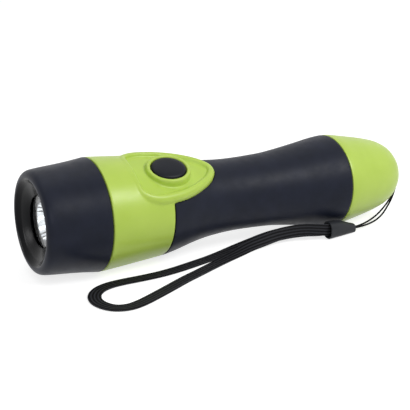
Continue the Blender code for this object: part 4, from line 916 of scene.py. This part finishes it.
def woven(name, dark, light, rib_mm, twill_mm, slant):
    """Filament yarn: near black and matt, with raised ribs painted paler as a highlight, and a fine twill.
    """
    material, tree, shader = new_finish(name, {"IOR": 1.5, "Specular IOR Level": 0.12, "Roughness": 0.7})
    along = add_node(tree, "ShaderNodeAttribute", {"attribute_name": "along"}).outputs["Fac"]
    across = add_node(tree, "ShaderNodeAttribute", {"attribute_name": "round"}).outputs["Fac"]
    waves = []
    for size_mm, lean in ((rib_mm, slant), (twill_mm, 1.0)):
        way = add_node(tree, "ShaderNodeMath", {"operation": "MULTIPLY_ADD"}, {0: along, 1: lean, 2: across})
        turns = add_node(tree, "ShaderNodeMath", {"operation": "MULTIPLY"},
                         {0: way.outputs[0], 1: 2 * math.pi / (size_mm * MM)})
        wave = add_node(tree, "ShaderNodeMath", {"operation": "SINE"}, {0: turns.outputs[0]})
        waves.append(wave.outputs[0])
    height = add_node(tree, "ShaderNodeMix", {"data_type": "FLOAT"},
                      {0: TWILL_SHARE, 2: waves[0], 3: waves[1]})
    # The paler of the two colours is a painted highlight on the ribs
    tree.links.new(ramp(tree, height.outputs[0], dark, light, -0.4, 0.9), shader.inputs["Base Color"])
    bump(tree, shader, height.outputs[0], WEAVE_DEPTH_MM, 0.7)
    return material


# Dull black webbing, with a painted highlight on its ribs where the yarn would catch the light
WEBBING = woven("woven_polyester_webbing_painted_highlight", "#060607", "#37383D", RIB_MM, 0.6, 0.02)
# The string's braid is steeper and finer, and reads as a broken thin line
BRAID = woven("braided_polyester_string", "#040405", "#16171A", 0.7, 0.5, 0.9)
# Vinyl, a little greyer and smoother than the band it holds
SLEEVE_PLASTIC = soft_rubber("moulded_sleeve_vinyl", "#25272B", "#2E3034", 0.40, 0.50, 0.4)
print("soft finishes:", [material.name for material in (WEBBING, BRAID, SLEEVE_PLASTIC)])

# %% [markdown]
# ## Clear, bright and inner finishes
#
# The lens is clear polycarbonate, and the bowl is aluminium deposited on plastic. The
# pieces inside are seen only when a cap is unscrewed or past the lens. They could stay
# grey, but they get the finish of what they are, so that an open torch looks right too:
# nickelled steel, brass, cast aluminium, board, moulded nylon and printed film.

# %% Ways to make them
# Polycarbonate has 1.58. The real lens mirrors a dim room and looks clear, and this value
# gives the same faint reflection under a white studio
LENS_IOR = 1.25


def clear_plastic(name):
    """Clear moulded lens, with the faintest haze of fine scratches."""
    material, tree, shader = new_finish(name, {"Base Color": colour("#F4F7F9"), "IOR": LENS_IOR,
                                               "Transmission Weight": 1.0})
    tree.links.new(ramp(tree, grain(tree, 3.0), 0.01, 0.05), shader.inputs["Roughness"])
    return material


def metal(name, low, high, shine_low, shine_high, spot_mm=2.0, depth_mm=0.01):
    """A bare or plated metal, a little uneven in shine."""
    material, tree, shader = new_finish(name, {"Metallic": 1.0})
    uneven(tree, shader, (low, high), spot_mm, (shine_low, shine_high), spot_mm / 2)
    bump(tree, shader, grain(tree, spot_mm / 4), depth_mm, 0.3)
    return material


def moulded(name, low, high, shine, spot_mm=3.0):
    """Plain moulded or painted plastic."""
    material, tree, shader = new_finish(name, {"IOR": 1.5})
    uneven(tree, shader, (low, high), spot_mm, (shine - 0.05, shine + 0.05), spot_mm / 2)
    bump(tree, shader, grain(tree, spot_mm / 6), 0.02, 0.3)
    return material


# %% Make them
LENS_PLASTIC = clear_plastic("clear_polycarbonate")
# A vacuum coating is nearly a perfect mirror, so its stripes are white and black
MIRROR = metal("vacuum_metallised_aluminium", "#F2F3F5", "#FAFBFC", 0.06, 0.10, 4.0, 0.002)
# Plated nickel is warm and slightly blurred, brass is yellow, and a casting is dull
NICKEL = metal("nickel_plated_steel", "#B9B7B2", "#CFCDC8", 0.22, 0.32)
BRASS = metal("bright_brass", "#C79A4A", "#DDB45F", 0.2, 0.3)
CAST = metal("cast_aluminium", "#A9ABAE", "#BFC1C4", 0.38, 0.5, 1.2, 0.03)
BOARD = moulded("white_solder_mask", "#E4E7E2", "#F0F2EE", 0.4)
FRAME_NYLON = moulded("moulded_black_nylon", "#1A1B1F", "#232429", 0.5)
CELL_FILM = moulded("printed_cell_film", "#2A3038", "#39414C", 0.35, 6.0)
SEAL_RUBBER = moulded("silicone_seal_rubber", "#101012", "#1A1A1D", 0.6)
ACETAL = moulded("moulded_acetal", "#E3E2DC", "#EFEEE9", 0.4)
# The lamp's yellow phosphor under a glossy dome of silicone
PHOSPHOR = moulded("phosphor_under_silicone", "#E8D45A", "#F4E684", 0.15, 1.0)
print("all finishes:", len(bpy.data.materials))

# %% [markdown]
# ## Dressing the pieces
#
# Every new piece and every solid gets one finish. The funnel inside the head's lip is the
# same piece as the head, so its faces are picked by where they are, and they get a darker
# rubber that is painted shade in the recess. They come after the head's own finish is on,
# because that resets them.

# %% Give every surface its finish
FUNNEL_R, FUNNEL_END = 19.3, -23.6
PIECE_FINISHES = (
    # The trim ring takes the funnel's rubber, with the same painted shade
    (head, HEAD_RUBBER), (lens, LENS_PLASTIC), (reflector, MIRROR), (trim, FUNNEL_PAINTED_SHADE_RUBBER),
    (collar, LIME_SHELL), (neck, LIME_SHELL), (button, BUTTON_RUBBER), (grip, GRIP_RUBBER),
    (tail, LIME_SHELL), (strap, WEBBING), (string, BRAID), (sleeve, SLEEVE_PLASTIC),
)
NODE_FINISHES = {
    "barrel": FRAME_NYLON, "push_switch": FRAME_NYLON, "switch_plunger": ACETAL, "led_board": BOARD,
    "led_emitter": PHOSPHOR, "heat_sink": CAST, "board_screw_left": NICKEL, "board_screw_right": NICKEL,
    "front_contact": BRASS, "contact_strip": BRASS, "battery_front": CELL_FILM, "battery_rear": CELL_FILM,
    "tail_contact_cup": NICKEL, "tail_spring": NICKEL, "lanyard_stop": NICKEL, "lens_gasket": SEAL_RUBBER,
    "tail_seal": SEAL_RUBBER, "head_bezel": HEAD_RUBBER, "lens_window": LENS_PLASTIC, "reflector": MIRROR,
    "switch_collar": LIME_SHELL, "switch_button": BUTTON_RUBBER, "grip_sleeve": GRIP_RUBBER,
    "tail_cap": LIME_SHELL, "strap_ferrule": SLEEVE_PLASTIC, "wrist_strap": WEBBING, "lanyard_string": BRAID,
}


def dress(thing, material):
    thing.data.materials.clear()
    thing.data.materials.append(material)


for piece, material in PIECE_FINISHES:
    dress(piece, material)
for name, material in NODE_FINISHES.items():
    dress(frame["nodes"][name], material)

# The funnel's faces get a darker rubber, which is painted shade in the recess
head.data.materials.append(FUNNEL_PAINTED_SHADE_RUBBER)
to_torch = TORCH.inverted()
for face in head.data.polygons:
    place = to_torch @ face.center / MM
    if place.x < FUNNEL_END and math.hypot(place.y, place.z) < FUNNEL_R:
        face.material_index = 1
print("nodes without a finish:", sorted(set(frame["nodes"]) - set(NODE_FINISHES)))

# %% [markdown]
# ## Floor, light and background
#
# The photograph is a studio shot on white. White could come from strong light, but that
# would wash out the object. So the floor and the world only look white: to the camera, and
# in reflections and through the lens. They light the object like a pale grey room.

# %% What looks white
def looked_at(tree):
    """1 for a ray from the camera, off something shiny or through something clear, else 0."""
    ray = add_node(tree, "ShaderNodeLightPath")
    shiny = add_node(tree, "ShaderNodeMath", {"operation": "MAXIMUM"},
                     {0: ray.outputs["Is Camera Ray"], 1: ray.outputs["Is Glossy Ray"]})
    either = add_node(tree, "ShaderNodeMath", {"operation": "MAXIMUM"},
                      {0: shiny.outputs[0], 1: ray.outputs["Is Transmission Ray"]})
    return either.outputs[0]


# %% Floor
FLOOR_COLOUR = "#C8C8C8"
FLOOR_GLOW = 0.74
FLOOR_HALF_SIZE = 3.0
FLOOR_BELOW = 0.1 * MM
WHITE = (1.0, 1.0, 1.0, 1.0)

floor_shape = bmesh.new()
bmesh.ops.create_grid(floor_shape, x_segments=4, y_segments=4, size=FLOOR_HALF_SIZE)
floor = settle(floor_shape, "studio_floor", Matrix.Translation((0.0, 0.0, -FLOOR_BELOW)))
floor_paper = bpy.data.materials.new("white_background_paper")
floor_paper.use_nodes = True
paper = floor_paper.node_tree
paper.nodes.clear()
glow = add_node(paper, "ShaderNodeMath", {"operation": "MULTIPLY"}, {0: looked_at(paper), 1: FLOOR_GLOW})
matt = add_node(paper, "ShaderNodeBsdfDiffuse", inputs={"Color": colour(FLOOR_COLOUR)})
light = add_node(paper, "ShaderNodeEmission", inputs={"Color": WHITE, "Strength": glow.outputs[0]})
both = add_node(paper, "ShaderNodeAddShader", inputs={0: matt.outputs[0], 1: light.outputs[0]})
add_node(paper, "ShaderNodeOutputMaterial", inputs={"Surface": both.outputs[0]})
dress(floor, floor_paper)
tell(floor)

# %% World
WORLD_LIGHT, WORLD_SEEN = 0.4, 1.0
world = bpy.data.worlds.new("studio")
bpy.context.scene.world = world
world.use_nodes = True
sky = world.node_tree
sky.nodes.clear()
level = add_node(sky, "ShaderNodeMapRange", inputs={
    "Value": looked_at(sky), "To Min": WORLD_LIGHT, "To Max": WORLD_SEEN})
backdrop = add_node(sky, "ShaderNodeBackground", inputs={
    "Color": WHITE, "Strength": level.outputs["Result"]})
add_node(sky, "ShaderNodeOutputWorld", inputs={"Surface": backdrop.outputs[0]})
bpy.context.scene.view_settings.view_transform = "Standard"
print("world gives", WORLD_LIGHT, "and looks", WORLD_SEEN)

# %% [markdown]
# ### Soft boxes
#
# The photograph has one long soft shine along the top of the torch and no hard shadow. A
# key box high at the front right gives it. A wide box above, one in front and a weak one
# at the head only fill the sides, because a single lamp would leave the funnel black.

# %% Hang the soft boxes
# Each row is a name, a place, what it points at, a width and a height in metres, and its
# power in watts
SOFT_BOXES = (
    ("key_box", (0.36, -0.60, 0.63), (0.0, 0.0, 0.0), 0.42, 0.3, 4.2),
    ("box_above", (-0.1, 0.2, 0.9), (0.0, 0.0, 0.0), 0.9, 0.5, 1.3),
    ("box_at_head", (-0.82, 0.35, 0.11), (-0.1, 0.0, 0.02), 0.2, 0.2, 0.65),
    ("box_front", (-0.45, -0.9, 0.55), (0.0, 0.0, 0.02), 0.5, 0.4, 1.8),
)


def soft_box(name, place, target, width, height, power):
    data = bpy.data.lights.new(name, "AREA")
    data.shape = "RECTANGLE"
    data.size, data.size_y = width, height
    data.energy = power
    box = bpy.data.objects.new(name, data)
    box.location = place
    box.rotation_euler = (Vector(target) - Vector(place)).to_track_quat("-Z", "Y").to_euler()
    bpy.context.scene.collection.objects.link(box)


for row in SOFT_BOXES:
    soft_box(*row)
print("soft boxes:", len(SOFT_BOXES))
